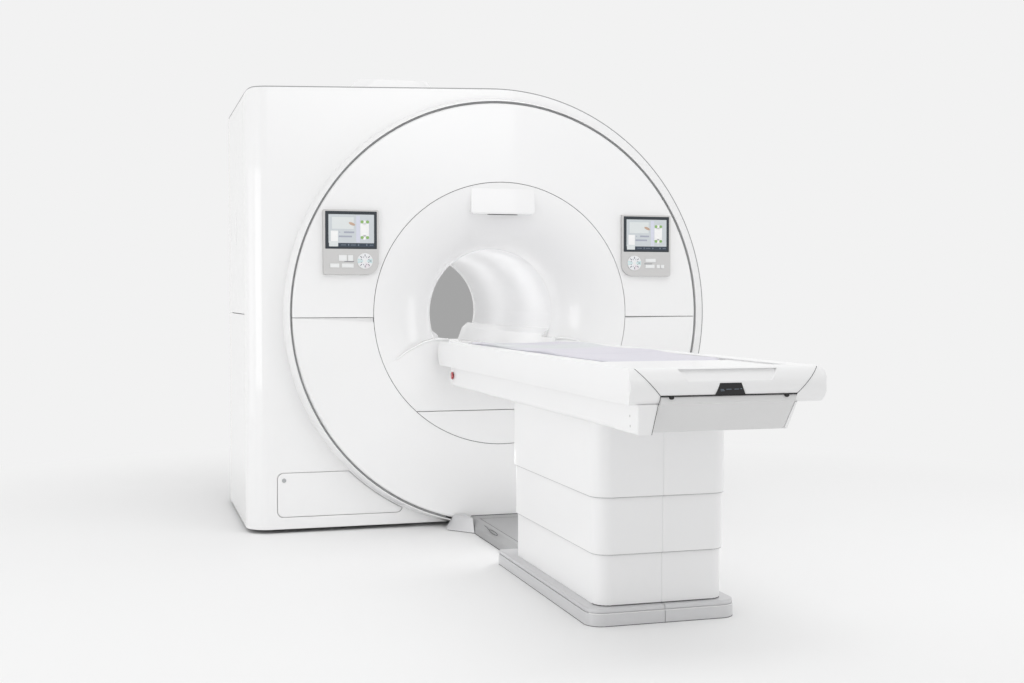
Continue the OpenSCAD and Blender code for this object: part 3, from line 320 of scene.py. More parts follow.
def texture_noise(tree, scale, detail, roughness=0.5, stretch=None):
    """A noise in the object's own space, stretched along an axis for brushed metal."""
    where = add(tree, "TexCoord").outputs["Object"]
    if stretch:
        where = add(tree, "Mapping", {"Vector": where, "Scale": stretch}).outputs["Vector"]
    values = {"Vector": where, "Scale": scale, "Detail": detail, "Roughness": roughness}
    return add(tree, "TexNoise", values).outputs["Fac"]


skin_group, given, result = new_group(
    "skin_detail",
    {"Colour": rgba(0.8), "Shade": rgba(0.75), "Gloss Low": 0.25, "Gloss High": 0.32},
    {"Colour": rgba(0.8), "Roughness": 0.3, "Peel": 0.0})
cloud = texture_noise(skin_group, CLOUD_SCALE, 3.0)
fill(skin_group, result, {
    "Colour": blend(skin_group, cloud, given["Colour"], given["Shade"]),
    "Roughness": ranged(skin_group, cloud, given["Gloss Low"], given["Gloss High"]),
    "Peel": texture_noise(skin_group, PEEL_SCALE, 2.0)})
print("group", skin_group.name)

# %% [markdown]
# The table below gives each moulded finish its colour, the shade that clouds it, its range of gloss,
# and where it has them the strength of its peel, its clear coat and its metal.

# %% Moulded finishes
PEEL_DEPTH = 0.0004
COAT_GLOSS = 0.03


def principled(tree, colour, gloss, height, bump, depth, extras):
    """Joins a surface with a relief to the material's output."""
    relief = add(tree, "Bump", {"Strength": bump, "Distance": depth, "Height": height})
    shader = add(tree, "BsdfPrincipled", {
        "Base Color": colour, "Roughness": gloss, "Normal": relief.outputs["Normal"], **extras})
    add(tree, "OutputMaterial", {"Surface": shader.outputs[0]})


def moulded(name, colour, shade, gloss, bump=0.0, coat=0.0, metallic=0.0):
    """A plastic or lacquer finish that takes its small changes from the shared group."""
    mat, tree = node_material(name)
    values = {"Colour": rgba(colour), "Shade": rgba(shade), "Gloss Low": gloss[0], "Gloss High": gloss[1]}
    skin = add(tree, "Group", values, node_tree=skin_group).outputs
    principled(
        tree, skin["Colour"], skin["Roughness"], skin["Peel"], bump, PEEL_DEPTH,
        {"Metallic": metallic, "Coat Weight": coat, "Coat Roughness": COAT_GLOSS})
    return mat


SKINS = {
    "shell_white": (0.9, (0.885, 0.885, 0.888), (0.3, 0.36), 0.05, 0.9),
    "table_white": (0.89, (0.87, 0.87, 0.875), (0.3, 0.38), 0.08, 0.1),
    "liner_white": ((0.86, 0.86, 0.865), (0.84, 0.84, 0.845), (0.34, 0.42), 0.1),
    # The foot's under cover is a greyer white than the other covers, darkened to paint the shade on its
    # down-facing slant.
    "under_shade_grey": (0.74, 0.7, (0.45, 0.55), 0.15),
    "joint_grey": ((0.2, 0.205, 0.21), (0.17, 0.175, 0.18), (0.6, 0.7), 0.2),
    "joint_soft": ((0.36, 0.365, 0.37), (0.32, 0.325, 0.33), (0.5, 0.6), 0.2),
    "gasket_grey": ((0.36, 0.365, 0.37), (0.31, 0.315, 0.32), (0.5, 0.6), 0.2),
    # Grey for the tier lips and the rail lines. The tier lips are real wiper lips that also paint the shadow
    # line under each step, and the rail lines are painted shadow only.
    "lip_and_shadow_grey": ((0.52, 0.52, 0.525), (0.47, 0.47, 0.475), (0.6, 0.7), 0.2),
    # Dark for the real seams and the bridge's gasket, and also for the beads that paint contact shadows under
    # the pedestal and at the floor.
    "seam_and_shadow_dark": ((0.07, 0.07, 0.072), (0.09, 0.09, 0.092), (0.6, 0.7), 0.2),
    "groove_dark": ((0.1, 0.1, 0.102), (0.08, 0.08, 0.082), (0.6, 0.7), 0.2),
    "rubber_black": (0.01, 0.014, (0.6, 0.7), 0.2),
    # A bright white that paints the highlight along the base's front edge.
    "painted_edge_highlight": (0.9, 0.84, (0.25, 0.35), 0.5),
    "display_black": ((0.012, 0.014, 0.02), (0.015, 0.017, 0.022), (0.05, 0.08), 0.0, 0.6),
    "display_frame": ((0.022, 0.03, 0.038), (0.026, 0.034, 0.042), (0.3, 0.35), 0.0, 0.05),
    "foot_glass": ((0.006, 0.006, 0.007), (0.008, 0.008, 0.009), (0.35, 0.45)),
    "housing_silver": ((0.63, 0.625, 0.62), (0.6, 0.595, 0.59), (0.34, 0.42), 0.1, 0.0, 0.15),
    "key_white": ((0.86, 0.87, 0.87), (0.83, 0.84, 0.84), (0.32, 0.4), 0.05),
    "stop_red": ((0.48, 0.03, 0.04), (0.42, 0.025, 0.035), (0.22, 0.3), 0.05, 0.3),
    "coil_resin": ((0.42, 0.36, 0.2), (0.36, 0.3, 0.16), (0.35, 0.5), 0.3),
    "frame_grey": ((0.2, 0.205, 0.215), (0.17, 0.175, 0.185), (0.4, 0.5), 0.2),
    "drive_dark": ((0.02, 0.02, 0.022), (0.03, 0.03, 0.032), (0.45, 0.55), 0.2),
    "window_dark": ((0.01, 0.01, 0.012), (0.012, 0.012, 0.014), (0.05, 0.08), 0.0, 0.5),
    "floor_plate": ((0.43, 0.43, 0.435), (0.39, 0.39, 0.395), (0.45, 0.6), 0.5),
    "mattress_fabric": ((0.7, 0.69, 0.74), (0.66, 0.65, 0.7), (0.5, 0.6), 0.4),
}
FIELD_TONES = {
    "pale": ((0.6, 0.65, 0.67), (0.63, 0.66, 0.69)),
    "light": ((0.72, 0.76, 0.76), (0.76, 0.79, 0.79)),
    "lilac": ((0.66, 0.68, 0.8), (0.7, 0.71, 0.8)),
    "white": ((0.93, 0.93, 0.92), (0.9, 0.9, 0.9)),
    "green": ((0.22, 0.42, 0.12), (0.3, 0.5, 0.16)),
    "warm": ((0.5, 0.33, 0.24), (0.6, 0.43, 0.33)),
    "text": ((0.36, 0.38, 0.46), (0.42, 0.44, 0.52)),
    "bar": ((0.028, 0.042, 0.065), (0.034, 0.05, 0.074)),
    "mark": ((0.2, 0.24, 0.29), (0.16, 0.2, 0.25)),
}
PETAL_TONES = {
    "white": ((0.84, 0.85, 0.88), (0.88, 0.88, 0.9)),
    "cyan": ((0.56, 0.74, 0.75), (0.64, 0.78, 0.8)),
    "rose": ((0.78, 0.7, 0.76), (0.84, 0.78, 0.82)),
    "mark": ((0.09, 0.1, 0.13), (0.12, 0.13, 0.16)),
}
PRINT_GLOSS = (0.3, 0.35)
finish = {name: moulded(name, *values) for name, values in SKINS.items()}
for kind, tones, coat in (("field", FIELD_TONES, 0.1), ("petal", PETAL_TONES, 0.2)):
    for tone, colours in tones.items():
        finish[f"{kind}_{tone}"] = moulded(f"{kind}_{tone}", *colours, PRINT_GLOSS, 0.0, coat)
print("moulded finishes", len(finish))

# %% [markdown]
# Brushed metal has long fine scratches that all run one way. A noise that is squeezed across the
# grain and stretched along it changes the roughness and lifts the surface by a hair.

# %% Metal finishes
GRAIN_SHADE = 0.9
GRAIN_BUMP = 0.12
GRAIN_DEPTH = 0.0002


def brushed(name, colour, gloss, stretch, metallic=1.0):
    """Metal with a grain that runs along the axis with the smallest stretch value."""
    mat, tree = node_material(name)
    grain = texture_noise(tree, 1.0, 3.0, 0.6, stretch)
    tint = blend(tree, grain, rgba(colour), rgba([c * GRAIN_SHADE for c in colour]))
    principled(
        tree, tint, ranged(tree, grain, *gloss), grain, GRAIN_BUMP, GRAIN_DEPTH, {"Metallic": metallic})
    return mat


METALS = {
    "base_aluminium": ((0.7, 0.7, 0.71), (0.32, 0.44), (900, 6, 900), 0.55),
    "lift_steel": ((0.55, 0.56, 0.57), (0.25, 0.36), (700, 700, 5)),
    "vessel_steel": ((0.6, 0.61, 0.62), (0.3, 0.45), (500, 5, 500)),
    "copper": ((0.78, 0.42, 0.26), (0.25, 0.4), (500, 8, 500)),
}
for name, values in METALS.items():
    finish[name] = brushed(name, *values)

# %% Give every solid its finish
slot_of = {entry["node"]: entry["material_slot"] for entry in frame["record"]["subparts"]}
body_of = {node: body for body, members in frame["record"]["behaviour"]["bodies"].items() for node in members}
for name, obj in nodes.items():
    obj.data.materials.clear()
    obj.data.materials.append(finish[slot_of[name]])
nodes["foot_display"].data.materials[0] = finish["foot_glass"]
for side in ("left", "right"):
    nodes[f"{side}_display"].data.materials[0] = finish["display_frame"]
print("finishes", len(finish))

# %% [markdown]
# ## Rounded covers
# Moulded covers never have a knife edge: each rim turns over a small radius that catches the light
# beside every seam. A rounded copy of the CAD solid gives this. It is cleaned of the mesh's extra lines
# first, so that the bevel has long clean edges to run on.

# %% A rounded copy of a CAD solid
CLEAN_ANGLE = math.radians(0.35)
SHARP_ANGLE = math.radians(28)
WELD = 0.00002
FLAT_FIRST = 100


def settle(obj):
    """Applies an object's modifiers to its mesh."""
    graph = bpy.context.evaluated_depsgraph_get()
    done = bpy.data.meshes.new_from_object(obj.evaluated_get(graph))
    obj.modifiers.clear()
    obj.data = done
    return obj


def soften(obj, radius, segments=2, angle=SHARP_ANGLE):
    """Rounds a piece's sharp edges and smooths its shading."""
    for face in obj.data.polygons:
        face.use_smooth = True
    bevel = obj.modifiers.new("edges", "BEVEL")
    bevel.limit_method = "ANGLE"
    bevel.angle_limit = angle
    bevel.width = radius
    bevel.segments = segments
    obj.modifiers.new("shading", "WEIGHTED_NORMAL").weight = FLAT_FIRST
    return settle(obj)


def built(name, shell):
    """Turns a finished shell into an object of the scene."""
    mesh = bpy.data.meshes.new(name)
    shell.to_mesh(mesh)
    shell.free()
    return link(bpy.data.objects.new(name, mesh))


def clean_copy(node):
    """A copy of a CAD solid with its points welded and its flat areas made whole."""
    shell = bmesh.new()
    shell.from_mesh(nodes[node].data)
    bmesh.ops.remove_doubles(shell, verts=shell.verts, dist=WELD)
    bmesh.ops.dissolve_limit(
        shell, angle_limit=CLEAN_ANGLE, verts=shell.verts, edges=shell.edges, use_dissolve_boundaries=False)
    return built(f"{node}_rounded", shell)


def dress(obj, node, look=None):
    """Gives a piece its finish and slot, and its place on the body of a CAD node."""
    obj.data.materials.clear()
    obj.data.materials.append(finish[look or slot_of[node]])
    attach(obj, body_of[node])
    return obj


def rounded_cover(node, radius, segments=2, look=None, move=None):
    """Replaces a CAD solid with a copy whose sharp edges are rounded, its points moved first."""
    obj = clean_copy(node)
    if move:
        move(obj.data)
    dress(soften(obj, radius, segments), node, look)
    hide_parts(node)
    print(node, len(obj.data.polygons))
    return obj


TABLE_NODES = (
    "rail_cover_left", "rail_cover_right", "foot_cover", "table_frame", "cradle",
    "upper_tier_cover", "middle_tier_cover", "lower_tier_cover")
# The foot's under cover takes the greyer white that paints its shade.
cover_looks = {**dict.fromkeys(TABLE_NODES, "table_white"), "foot_under_cover": "under_shade_grey"}
COVER_RADII = {
    0.0015: (
        "front_cover", "roof_cover", "left_upper_cover", "left_lower_cover", "right_cover", "rear_cover",
        "service_hatch", "upper_tier_cover", "middle_tier_cover", "lower_tier_cover", "table_base",
        "stop_button"),
    0.0012: ("disc_cover_upper", "disc_cover_lower", "left_panel_housing", "right_panel_housing"),
    0.0008: ("hatch_lock",),
    0.001: ("lower_front_panel", "rear_funnel"),
    0.002: ("rail_cover_left", "rail_cover_right", "cradle"),
    0.003: ("laser_visor", "table_frame", "floor_bridge", "bridge_brackets"),
    0.005: ("foot_under_cover",)}
for radius, covers in COVER_RADII.items():
    for cover in covers:
        rounded_cover(cover, radius, look=cover_looks.get(cover))

# %% [markdown]
# ## Flat pieces and small fittings
# Display fields, key marks, rubber strips and screw heads are cut from sheet or moulded as thin tiles.
# Each is an outline with a thickness, so one helper makes them all, across any axis.

# %% Solids from outlines


def oval(middle_x, middle_z, radius_x, radius_z, count=28):
    """The outline of an ellipse."""
    turns = [2 * math.pi * step / count for step in range(count)]
    return [(middle_x + radius_x * math.cos(t), middle_z + radius_z * math.sin(t)) for t in turns]


def soft_block(x0, z0, x1, z1, radius, steps=4):
    """The outline of a rectangle with round corners."""
    points = []
    corners = (
        (x1 - radius, z1 - radius), (x0 + radius, z1 - radius),
        (x0 + radius, z0 + radius), (x1 - radius, z0 + radius))
    for quarter, (cx, cz) in enumerate(corners):
        for share in shares(steps):
            t = math.pi / 2 * (quarter + share)
            points.append((cx + radius * math.cos(t), cz + radius * math.sin(t)))
    return points


def prisms(name, outlines, axis, low, high):
    """One mesh of flat solids: each outline drawn out between two places along an axis."""
    shell = bmesh.new()
    for outline in outlines:
        rings = []
        for level in (low, high):
            ring = []
            for pair in outline:
                point = list(pair)
                point.insert(axis, level)
                ring.append(shell.verts.new(point))
            rings.append(ring)
        shell.faces.new(rings[0])
        shell.faces.new(rings[1][::-1])
        for i in range(len(outline)):
            j = (i + 1) % len(outline)
            shell.faces.new((rings[0][j], rings[0][i], rings[1][i], rings[1][j]))
    bmesh.ops.recalc_face_normals(shell, faces=shell.faces)
    return built(name, shell)


def tiles(name, outlines, axis, face, before, beyond, node, look, edge=None):
    """Flat solids of a node that reach a little before and beyond one of its faces."""
    made = prisms(name, outlines, axis, face - before, face + beyond)
    if edge:
        soften(made, edge)
    return dress(made, node, look)


# %% [markdown]
# ## Control panels
# Each panel is a silver housing with a dark glass display, four pale keys and a round dial. The
# picture is made of coloured tiles a fraction of a millimetre thick: a white bed outline between four
# green marks, a warm spot for the patient and a dark bar along the bottom.

# %% Fields of the picture
TILE = 0.00012
FIELD_CORNER = 0.0012
CORNER_SHARE = 0.2
MARK_LAYER = 5
PATIENT_LAYER = 4
MARK_AT = ((0.713, 0.305), (0.713, 0.722), (0.818, 0.305), (0.818, 0.722))
MARK_OVAL = (0.0078, 0.0072)
PATIENT_AT = (0.515, 0.665)
PATIENT_OVAL = (0.015, 0.0078)
PATIENT_LEAN = (0.35, 0.25)
PICTURE = (
    ("pale", 0, [(0.063, 0.155, 0.945, 0.915)]),
    ("lilac", 1, [(0.6, 0.17, 0.672, 0.88)]),
    ("light", 1, [(0.13, 0.53, 0.55, 0.84)]),
    ("bar", 1, [(0.063, 0.05, 0.945, 0.155)]),
    ("light", 2, [(0.072, 0.062, 0.248, 0.2)]),
    ("white", 3, [(0.105, 0.2, 0.245, 0.48), (0.678, 0.34, 0.845, 0.675)]),
    ("white", 3, [(0.735, 0.66, 0.785, 0.76), (0.735, 0.25, 0.785, 0.36)]),
    ("text", 2, [(0.36, 0.418, 0.56, 0.462), (0.26, 0.308, 0.515, 0.35), (0.27, 0.43, 0.29, 0.452)]),
    ("mark", 2, [(0.44, 0.085, 0.462, 0.13), (0.63, 0.085, 0.655, 0.125), (0.79, 0.085, 0.815, 0.13)]),
    ("mark", 2, [(0.49, 0.095, 0.59, 0.112), (0.86, 0.095, 0.93, 0.112), (0.3, 0.095, 0.4, 0.112)]),
)


def on_display(low, high, u, v):
    """A place on the display, given in parts of its width and height."""
    return low[0] + u * (high[0] - low[0]), low[2] + v * (high[2] - low[2])


for side in ("left", "right"):
    screen = f"{side}_display"
    low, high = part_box(screen)
    for index, (tone, layer, boxes) in enumerate(PICTURE):
        outlines = []
        for u0, v0, u1, v1 in boxes:
            x0, z0 = on_display(low, high, u0, v0)
            x1, z1 = on_display(low, high, u1, v1)
            outlines.append(soft_block(x0, z0, x1, z1, min(FIELD_CORNER, (z1 - z0) * CORNER_SHARE)))
        tiles(f"{side}_field_{tone}_{index}", outlines, 1, low[1], TILE * (layer + 1), TILE, screen,
              f"field_{tone}")
    dots = [oval(*on_display(low, high, u, v), *MARK_OVAL) for u, v in MARK_AT]
    tiles(f"{side}_field_marks", dots, 1, low[1], TILE * MARK_LAYER, TILE, screen, "field_green")
    spot_x, spot_z = on_display(low, high, *PATIENT_AT)
    lean = [(x - PATIENT_LEAN[0] * (z - spot_z), z - PATIENT_LEAN[1] * (x - spot_x))
            for x, z in oval(spot_x, spot_z, *PATIENT_OVAL)]
    tiles(f"{side}_field_patient", [lean], 1, low[1], TILE * PATIENT_LAYER, TILE, screen, "field_warm")
print("display fields", len(PICTURE) + 2, "a side")

# %% [markdown]
# The dial is a jog wheel with sixteen printed petals, those at the sides in pale cyan, and short dark
# marks that point to its stops. They ride on the wheel, so the print turns with it. A thin line is
# printed between the two rows of keys.

# %% Dial petals and marks
PETALS = 16
PETAL_IN = 0.24
PETAL_OUT = 0.96
PETAL_GAP = 0.07
PETAL_TURN = 2 * math.pi / PETALS
CYAN_PETALS = (0, 7, 8, 15)
ROSE_PETALS = (12, 13)
LONG_MARK = (0.56, 0.84, 0.0016)
SHORT_MARK = (0.42, 0.6, 0.001)
NO_MARK = 4
MARK_TURN = 45
PETAL_PROUD = 0.0003
MARK_PROUD = 0.0005
PRINT_DEPTH = 0.0012
KEY_LINE_X = {"left": (0.101, 0.149), "right": (0.123, 0.167)}
KEY_LINE_UP = 0.062
KEY_LINE_HIGH = 0.0026
KEY_LINE_CORNER = 0.001
KEY_LINE_REACH = (0.0002, 0.001)


def petal(middle, radius, start, end):
    """A ring sector of the dial's print."""
    sector = []
    for rim, turns in ((PETAL_OUT, shares(4)), (PETAL_IN, shares(4)[::-1])):
        for t in (start + (end - start) * share for share in turns):
            sector.append((middle[0] + rim * radius * math.cos(t), middle[1] + rim * radius * math.sin(t)))
    return sector


def radial_mark(middle, radius, degrees, r_in, r_out, half):
    """A short bar that points to the dial's middle."""
    along = Vector((math.cos(math.radians(degrees)), math.sin(math.radians(degrees))))
    across = Vector((-along.y, along.x)) * half
    inner = Vector(middle) + along * r_in * radius
    outer = Vector(middle) + along * r_out * radius
    return [tuple(point) for point in (inner - across, outer - across, outer + across, inner + across)]


for side in ("left", "right"):
    dial = f"{side}_dial"
    low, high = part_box(dial)
    middle = ((low[0] + high[0]) / 2, (low[2] + high[2]) / 2)
    radius = (high[0] - low[0]) / 2
    tones = {"white": [], "cyan": [], "rose": []}
    for index in range(PETALS):
        tone = "cyan" if index in CYAN_PETALS else "rose" if index in ROSE_PETALS else "white"
        start = index * PETAL_TURN
        tones[tone].append(petal(middle, radius, start + PETAL_GAP, start + PETAL_TURN - PETAL_GAP))
    for tone, outlines in tones.items():
        tiles(f"{dial}_{tone}", outlines, 1, low[1], PETAL_PROUD, PRINT_DEPTH, dial, f"petal_{tone}")
    marks = [radial_mark(middle, radius, MARK_TURN * k, *LONG_MARK) for k in range(8) if k != NO_MARK]
    marks += [radial_mark(middle, radius, MARK_TURN * (k + 0.5), *SHORT_MARK) for k in range(8)]
    tiles(f"{dial}_marks", marks, 1, low[1], MARK_PROUD, PRINT_DEPTH, dial, "petal_mark")
    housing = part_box(f"{side}_panel_housing")[0]
    line_x, line_z = KEY_LINE_X[side], housing[2] + KEY_LINE_UP
    line = soft_block(
        housing[0] + line_x[0], line_z, housing[0] + line_x[1], line_z + KEY_LINE_HIGH, KEY_LINE_CORNER)
    tiles(f"{side}_key_line", [line], 1, housing[1], *KEY_LINE_REACH, f"{side}_panel_housing", "petal_mark")
print("dial petals", PETALS)

# %% [markdown]
# ## Trim and seams on the gantry
# A thin grey gasket runs along the front cover's edge, from the left shoulder over the roof and down
# the round right side. It is a long bead, so a curve with a small round section makes it. A softer
# one lies in the joint around the disc.

# %% Gasket along the body's edge
AXIS_Z = 1.074
BODY_R = 1.14
FACE_Y = -0.882
SIDE_X = -1.262
SIDE_END_Y = 0.175
SHOULDER_R = 0.045
SHOULDER_TURN = math.radians(30)
CORNER_R = 0.11
ROOF_FALL_DEG = 1.9
ROOF_FALL = math.radians(ROOF_FALL_DEG)
EDGE_END_DEG = 62
BEAD_R = 0.0032
CORNER_PROUD = 0.001
FACE_PROUD = 0.0012
SIDE_IN = 0.3 * BEAD_R
SIDE_UP = 0.7 * BEAD_R


def bead(name, points, radius, look, node, closed=False):
    """A long round bead along a path, as a mesh."""
    path = bpy.data.curves.new(name, "CURVE")
    path.dimensions = "3D"
    path.bevel_depth = radius
    path.bevel_resolution = 2
    path.use_fill_caps = True
    spline = path.splines.new("POLY")
    spline.points.add(len(points) - 1)
    for point, place in zip(spline.points, points):
        point.co = (*place, 1)
    spline.use_cyclic_u = closed
    made = link(bpy.data.objects.new(name, path))
    graph = bpy.context.evaluated_depsgraph_get()
    mesh = bpy.data.meshes.new_from_object(made.evaluated_get(graph))
    bpy.data.objects.remove(made)
    for polygon in mesh.polygons:
        polygon.use_smooth = True
    return dress(link(bpy.data.objects.new(name, mesh)), node, look)


def around(radius, degrees, y):
    """A point on a circle around the bore's axis."""
    turn = math.radians(degrees)
    return (radius * math.cos(turn), y, AXIS_Z + radius * math.sin(turn))


shoulder_x = SIDE_X + SHOULDER_R
touch_x = -BODY_R * math.sin(ROOF_FALL)
roof_touch_z = AXIS_Z + BODY_R * math.cos(ROOF_FALL)


def roof_edge_z(x):
    """Height of the body's top edge on its left half, round the shoulder too."""
    line = roof_touch_z - (touch_x - max(x, shoulder_x)) * math.tan(ROOF_FALL)
    if x < shoulder_x:
        line -= SHOULDER_R - math.sqrt(max(SHOULDER_R ** 2 - (x - shoulder_x) ** 2, 0))
    return line - BEAD_R


start_x = shoulder_x - SHOULDER_R * math.cos(SHOULDER_TURN)
corner_mid_x, corner_mid_y = SIDE_X + CORNER_R, FACE_Y + CORNER_R
first_turn = math.acos((corner_mid_x - start_x) / CORNER_R)
start_y = corner_mid_y - CORNER_R * math.sin(first_turn)
edge_points = []
for share in shares(13)[:-1]:
    y = SIDE_END_Y + (start_y - SIDE_END_Y) * share
    edge_points.append((start_x + SIDE_IN, y, roof_edge_z(start_x) + SIDE_UP))
for share in shares(12):
    turn = first_turn + (math.pi / 2 - first_turn) * share
    x = corner_mid_x - (CORNER_R - BEAD_R) * math.cos(turn)
    y = corner_mid_y - (CORNER_R - BEAD_R) * math.sin(turn) - CORNER_PROUD
    edge_points.append((x, y, roof_edge_z(x)))
for share in shares(96):
    degrees = 90 + ROOF_FALL_DEG - (90 + ROOF_FALL_DEG + EDGE_END_DEG) * share
    edge_points.append(around(BODY_R - BEAD_R, degrees, FACE_Y + BEAD_R - FACE_PROUD))
bead("edge_gasket", edge_points, BEAD_R, "gasket_grey", "front_cover")
print("gasket points", len(edge_points))

# %% Soft ring in the joint around the disc
DISC_R = 1.055
DISC_JOINT = 0.009
RING_AHEAD = 0.068
RING_MID_R = DISC_R + DISC_JOINT / 2
RING_Y = FACE_Y - RING_AHEAD
RING_GAP_DEG = 32
RING_R = 0.004
ring_points = [
    around(RING_MID_R, RING_GAP_DEG / 2 - 90 + (360 - RING_GAP_DEG) * share, RING_Y) for share in shares(240)]
bead("disc_joint_ring", ring_points, RING_R, "joint_soft", "disc_joint_seal")
print("ring points", len(ring_points))

# %% [markdown]
# The turret cover on the roof hides the cold head. It is a shallow moulded lid with a sloping left
# end. A wide bevel rounds its upright corners and a small one its rim, and then the lid is hollowed.

# %% Turret cover
LID_SLOPE = (0.055, 0.045)
LID_END = (0.014, 0.02)
LID_CORNER = 0.065
LID_SKIN = 0.004
LID_RIM = 0.01
LID_RIM_ANGLE = math.radians(24)
CORNER_RUN = 0.06
CORNER_RISE = 0.015
SAME_PLACE = 1e-6
FACING_DOWN = -0.9
turret_low, turret_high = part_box("turret_cover")
lid = [
    (turret_low[0], turret_low[2]), (turret_low[0], turret_high[2] - LID_SLOPE[1]),
    (turret_low[0] + LID_SLOPE[0], turret_high[2]), (turret_high[0] - LID_END[0], turret_high[2]),
    (turret_high[0], turret_high[2] - LID_END[1]), (turret_high[0], turret_low[2])]
turret = prisms("turret_lid", [lid], 1, turret_low[1], turret_high[1])


def is_corner(edge):
    """True for the lid's short upright edges."""
    dx, dy, dz = (abs(a - b) for a, b in zip(edge.verts[0].co, edge.verts[1].co))
    return dy < SAME_PLACE and dx < CORNER_RUN and dz > CORNER_RISE


shell = bmesh.new()
shell.from_mesh(turret.data)
bmesh.ops.bevel(
    shell, geom=[edge for edge in shell.edges if is_corner(edge)], offset=LID_CORNER, segments=7,
    profile=0.5, affect="EDGES", clamp_overlap=True)
bmesh.ops.delete(shell, geom=[face for face in shell.faces if face.normal.z < FACING_DOWN], context="FACES")
shell.to_mesh(turret.data)
shell.free()
thick = turret.modifiers.new("skin", "SOLIDIFY")
thick.thickness = LID_SKIN
thick.offset = -1
soften(turret, LID_RIM, 4, LID_RIM_ANGLE)
dress(turret, "turret_cover", "shell_white")
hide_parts("turret_cover")
print("turret", len(turret.data.polygons))

# %% [markdown]
# ## Funnel and apron
# On the real cover the funnel runs into the apron with no open gap, and the apron's upper edge is a
# soft bright ridge. The funnel's copy is drawn down by less than a millimetre to close the fitting
# gap of the solids, and a thin round bead along the apron's edge makes the ridge.

# %% Close the gap and round the ridge
FIT_GAP = 0.0008
CUT_SIDE = 0.02
CUT_DOWN = -0.2
FUNNEL_ROUND = 0.0006
APRON_ROUND = 0.001
RIDGE_R = 0.0052
RIDGE_BACK = 0.0022
RIDGE_DOWN = 0.0026
RIDGE_LINE = (
    (0.284, 0.948), (0.331, 0.948), (0.365, 0.944), (0.398, 0.936), (0.442, 0.916), (0.486, 0.893),
    (0.545, 0.852))


def draw_down(mesh):
    """Moves the faces that the apron's outline cuts in the funnel down on to the apron."""
    cut = [face for face in mesh.polygons if abs(face.normal.y) < CUT_SIDE and face.normal.z < CUT_DOWN]
    for index in {index for face in cut for index in face.vertices}:
        mesh.vertices[index].co.z -= FIT_GAP


rounded_cover("bore_funnel", FUNNEL_ROUND, 3, move=draw_down)
rounded_cover("apron_cover", APRON_ROUND, look="shell_white")
apron_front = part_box("apron_cover")[0][1]
for name, sign in (("left", -1), ("right", 1)):
    places = [(sign * x, apron_front + RIDGE_BACK, z - RIDGE_DOWN) for x, z in RIDGE_LINE]
    bead(f"apron_ridge_{name}", places, RIDGE_R, "shell_white", "apron_cover")

# %% [markdown]
# ## Foot end of the table
# The foot cover has a scooped grip, a small dark display above a rubber line, and two rubber stops.
# The scoop's back leans out at its lower edge, as a moulding must to leave its tool, so light falls
# on it from above. The solid's straight pocket is leaned the same way in the copy.

# %% Foot cover with its scoop
FOOT_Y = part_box("foot_cover")[0][1]
GRIP_LOW = 0.893
GRIP_TOP = 0.93
GRIP_DEEP = 0.062
SCOOP_LOW = 0.005
SCOOP_TOP = 0.03
BACK_NEAR = 0.001
FOOT_ROUND = 0.0028


def lean_scoop(mesh):
    """Leans the back of the straight pocket out."""
    for vert in mesh.vertices:
        if abs(vert.co.y - FOOT_Y - GRIP_DEEP) < BACK_NEAR:
            share = min(max((vert.co.z - GRIP_LOW) / (GRIP_TOP - GRIP_LOW), 0), 1)
            vert.co.y = FOOT_Y + SCOOP_LOW + share * (SCOOP_TOP - SCOOP_LOW)


rounded_cover("foot_cover", FOOT_ROUND, 3, "table_white", lean_scoop)

# %% Rubber line, stops and display marks
LINE_LOW = 0.8455
LINE_TOP = 0.8495
LINE_HALF = 0.2365
LINE_REACH = (-0.0035, 0.013)
LINE_ROUND = 0.001
STOP_X = 0.2
STOP_Z = 0.8425
STOP_OVAL = (0.008, 0.0055)
STOP_REACH = (-0.002, 0.012)
STOP_ROUND = 0.0015
MARK_HIGH = 0.0016
MARK_CORNER = 0.0005
MARK_REACH = (0.0002, 0.001)
DISPLAY_MARKS = (
    (-0.036, 0.8655, 0.012), (-0.036, 0.861, 0.014), (-0.016, 0.8655, 0.018), (0.012, 0.8655, 0.016),
    (0.033, 0.8665, 0.006))
strip = [(-LINE_HALF, LINE_LOW), (LINE_HALF, LINE_LOW), (LINE_HALF, LINE_TOP), (-LINE_HALF, LINE_TOP)]
tiles("foot_rubber_line", [strip], 1, FOOT_Y, *LINE_REACH, "foot_cover", "rubber_black", LINE_ROUND)
stops = [oval(x, STOP_Z, *STOP_OVAL) for x in (-STOP_X, STOP_X)]
tiles("foot_rubber_stops", stops, 1, FOOT_Y, *STOP_REACH, "foot_cover", "rubber_black", STOP_ROUND)
marks = [soft_block(x, z, x + width, z + MARK_HIGH, MARK_CORNER) for x, z, width in DISPLAY_MARKS]
tiles("foot_display_marks", marks, 1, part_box("foot_display")[0][1], *MARK_REACH, "foot_display",
      "field_mark")
print("foot end marks", len(marks))

# %% [markdown]
# The frame's left foot corner carries a small square end cap, held by two screws on its side. It closes
# the corner beside the slanted cover. Eight points give its shape, and a bevel rounds it.

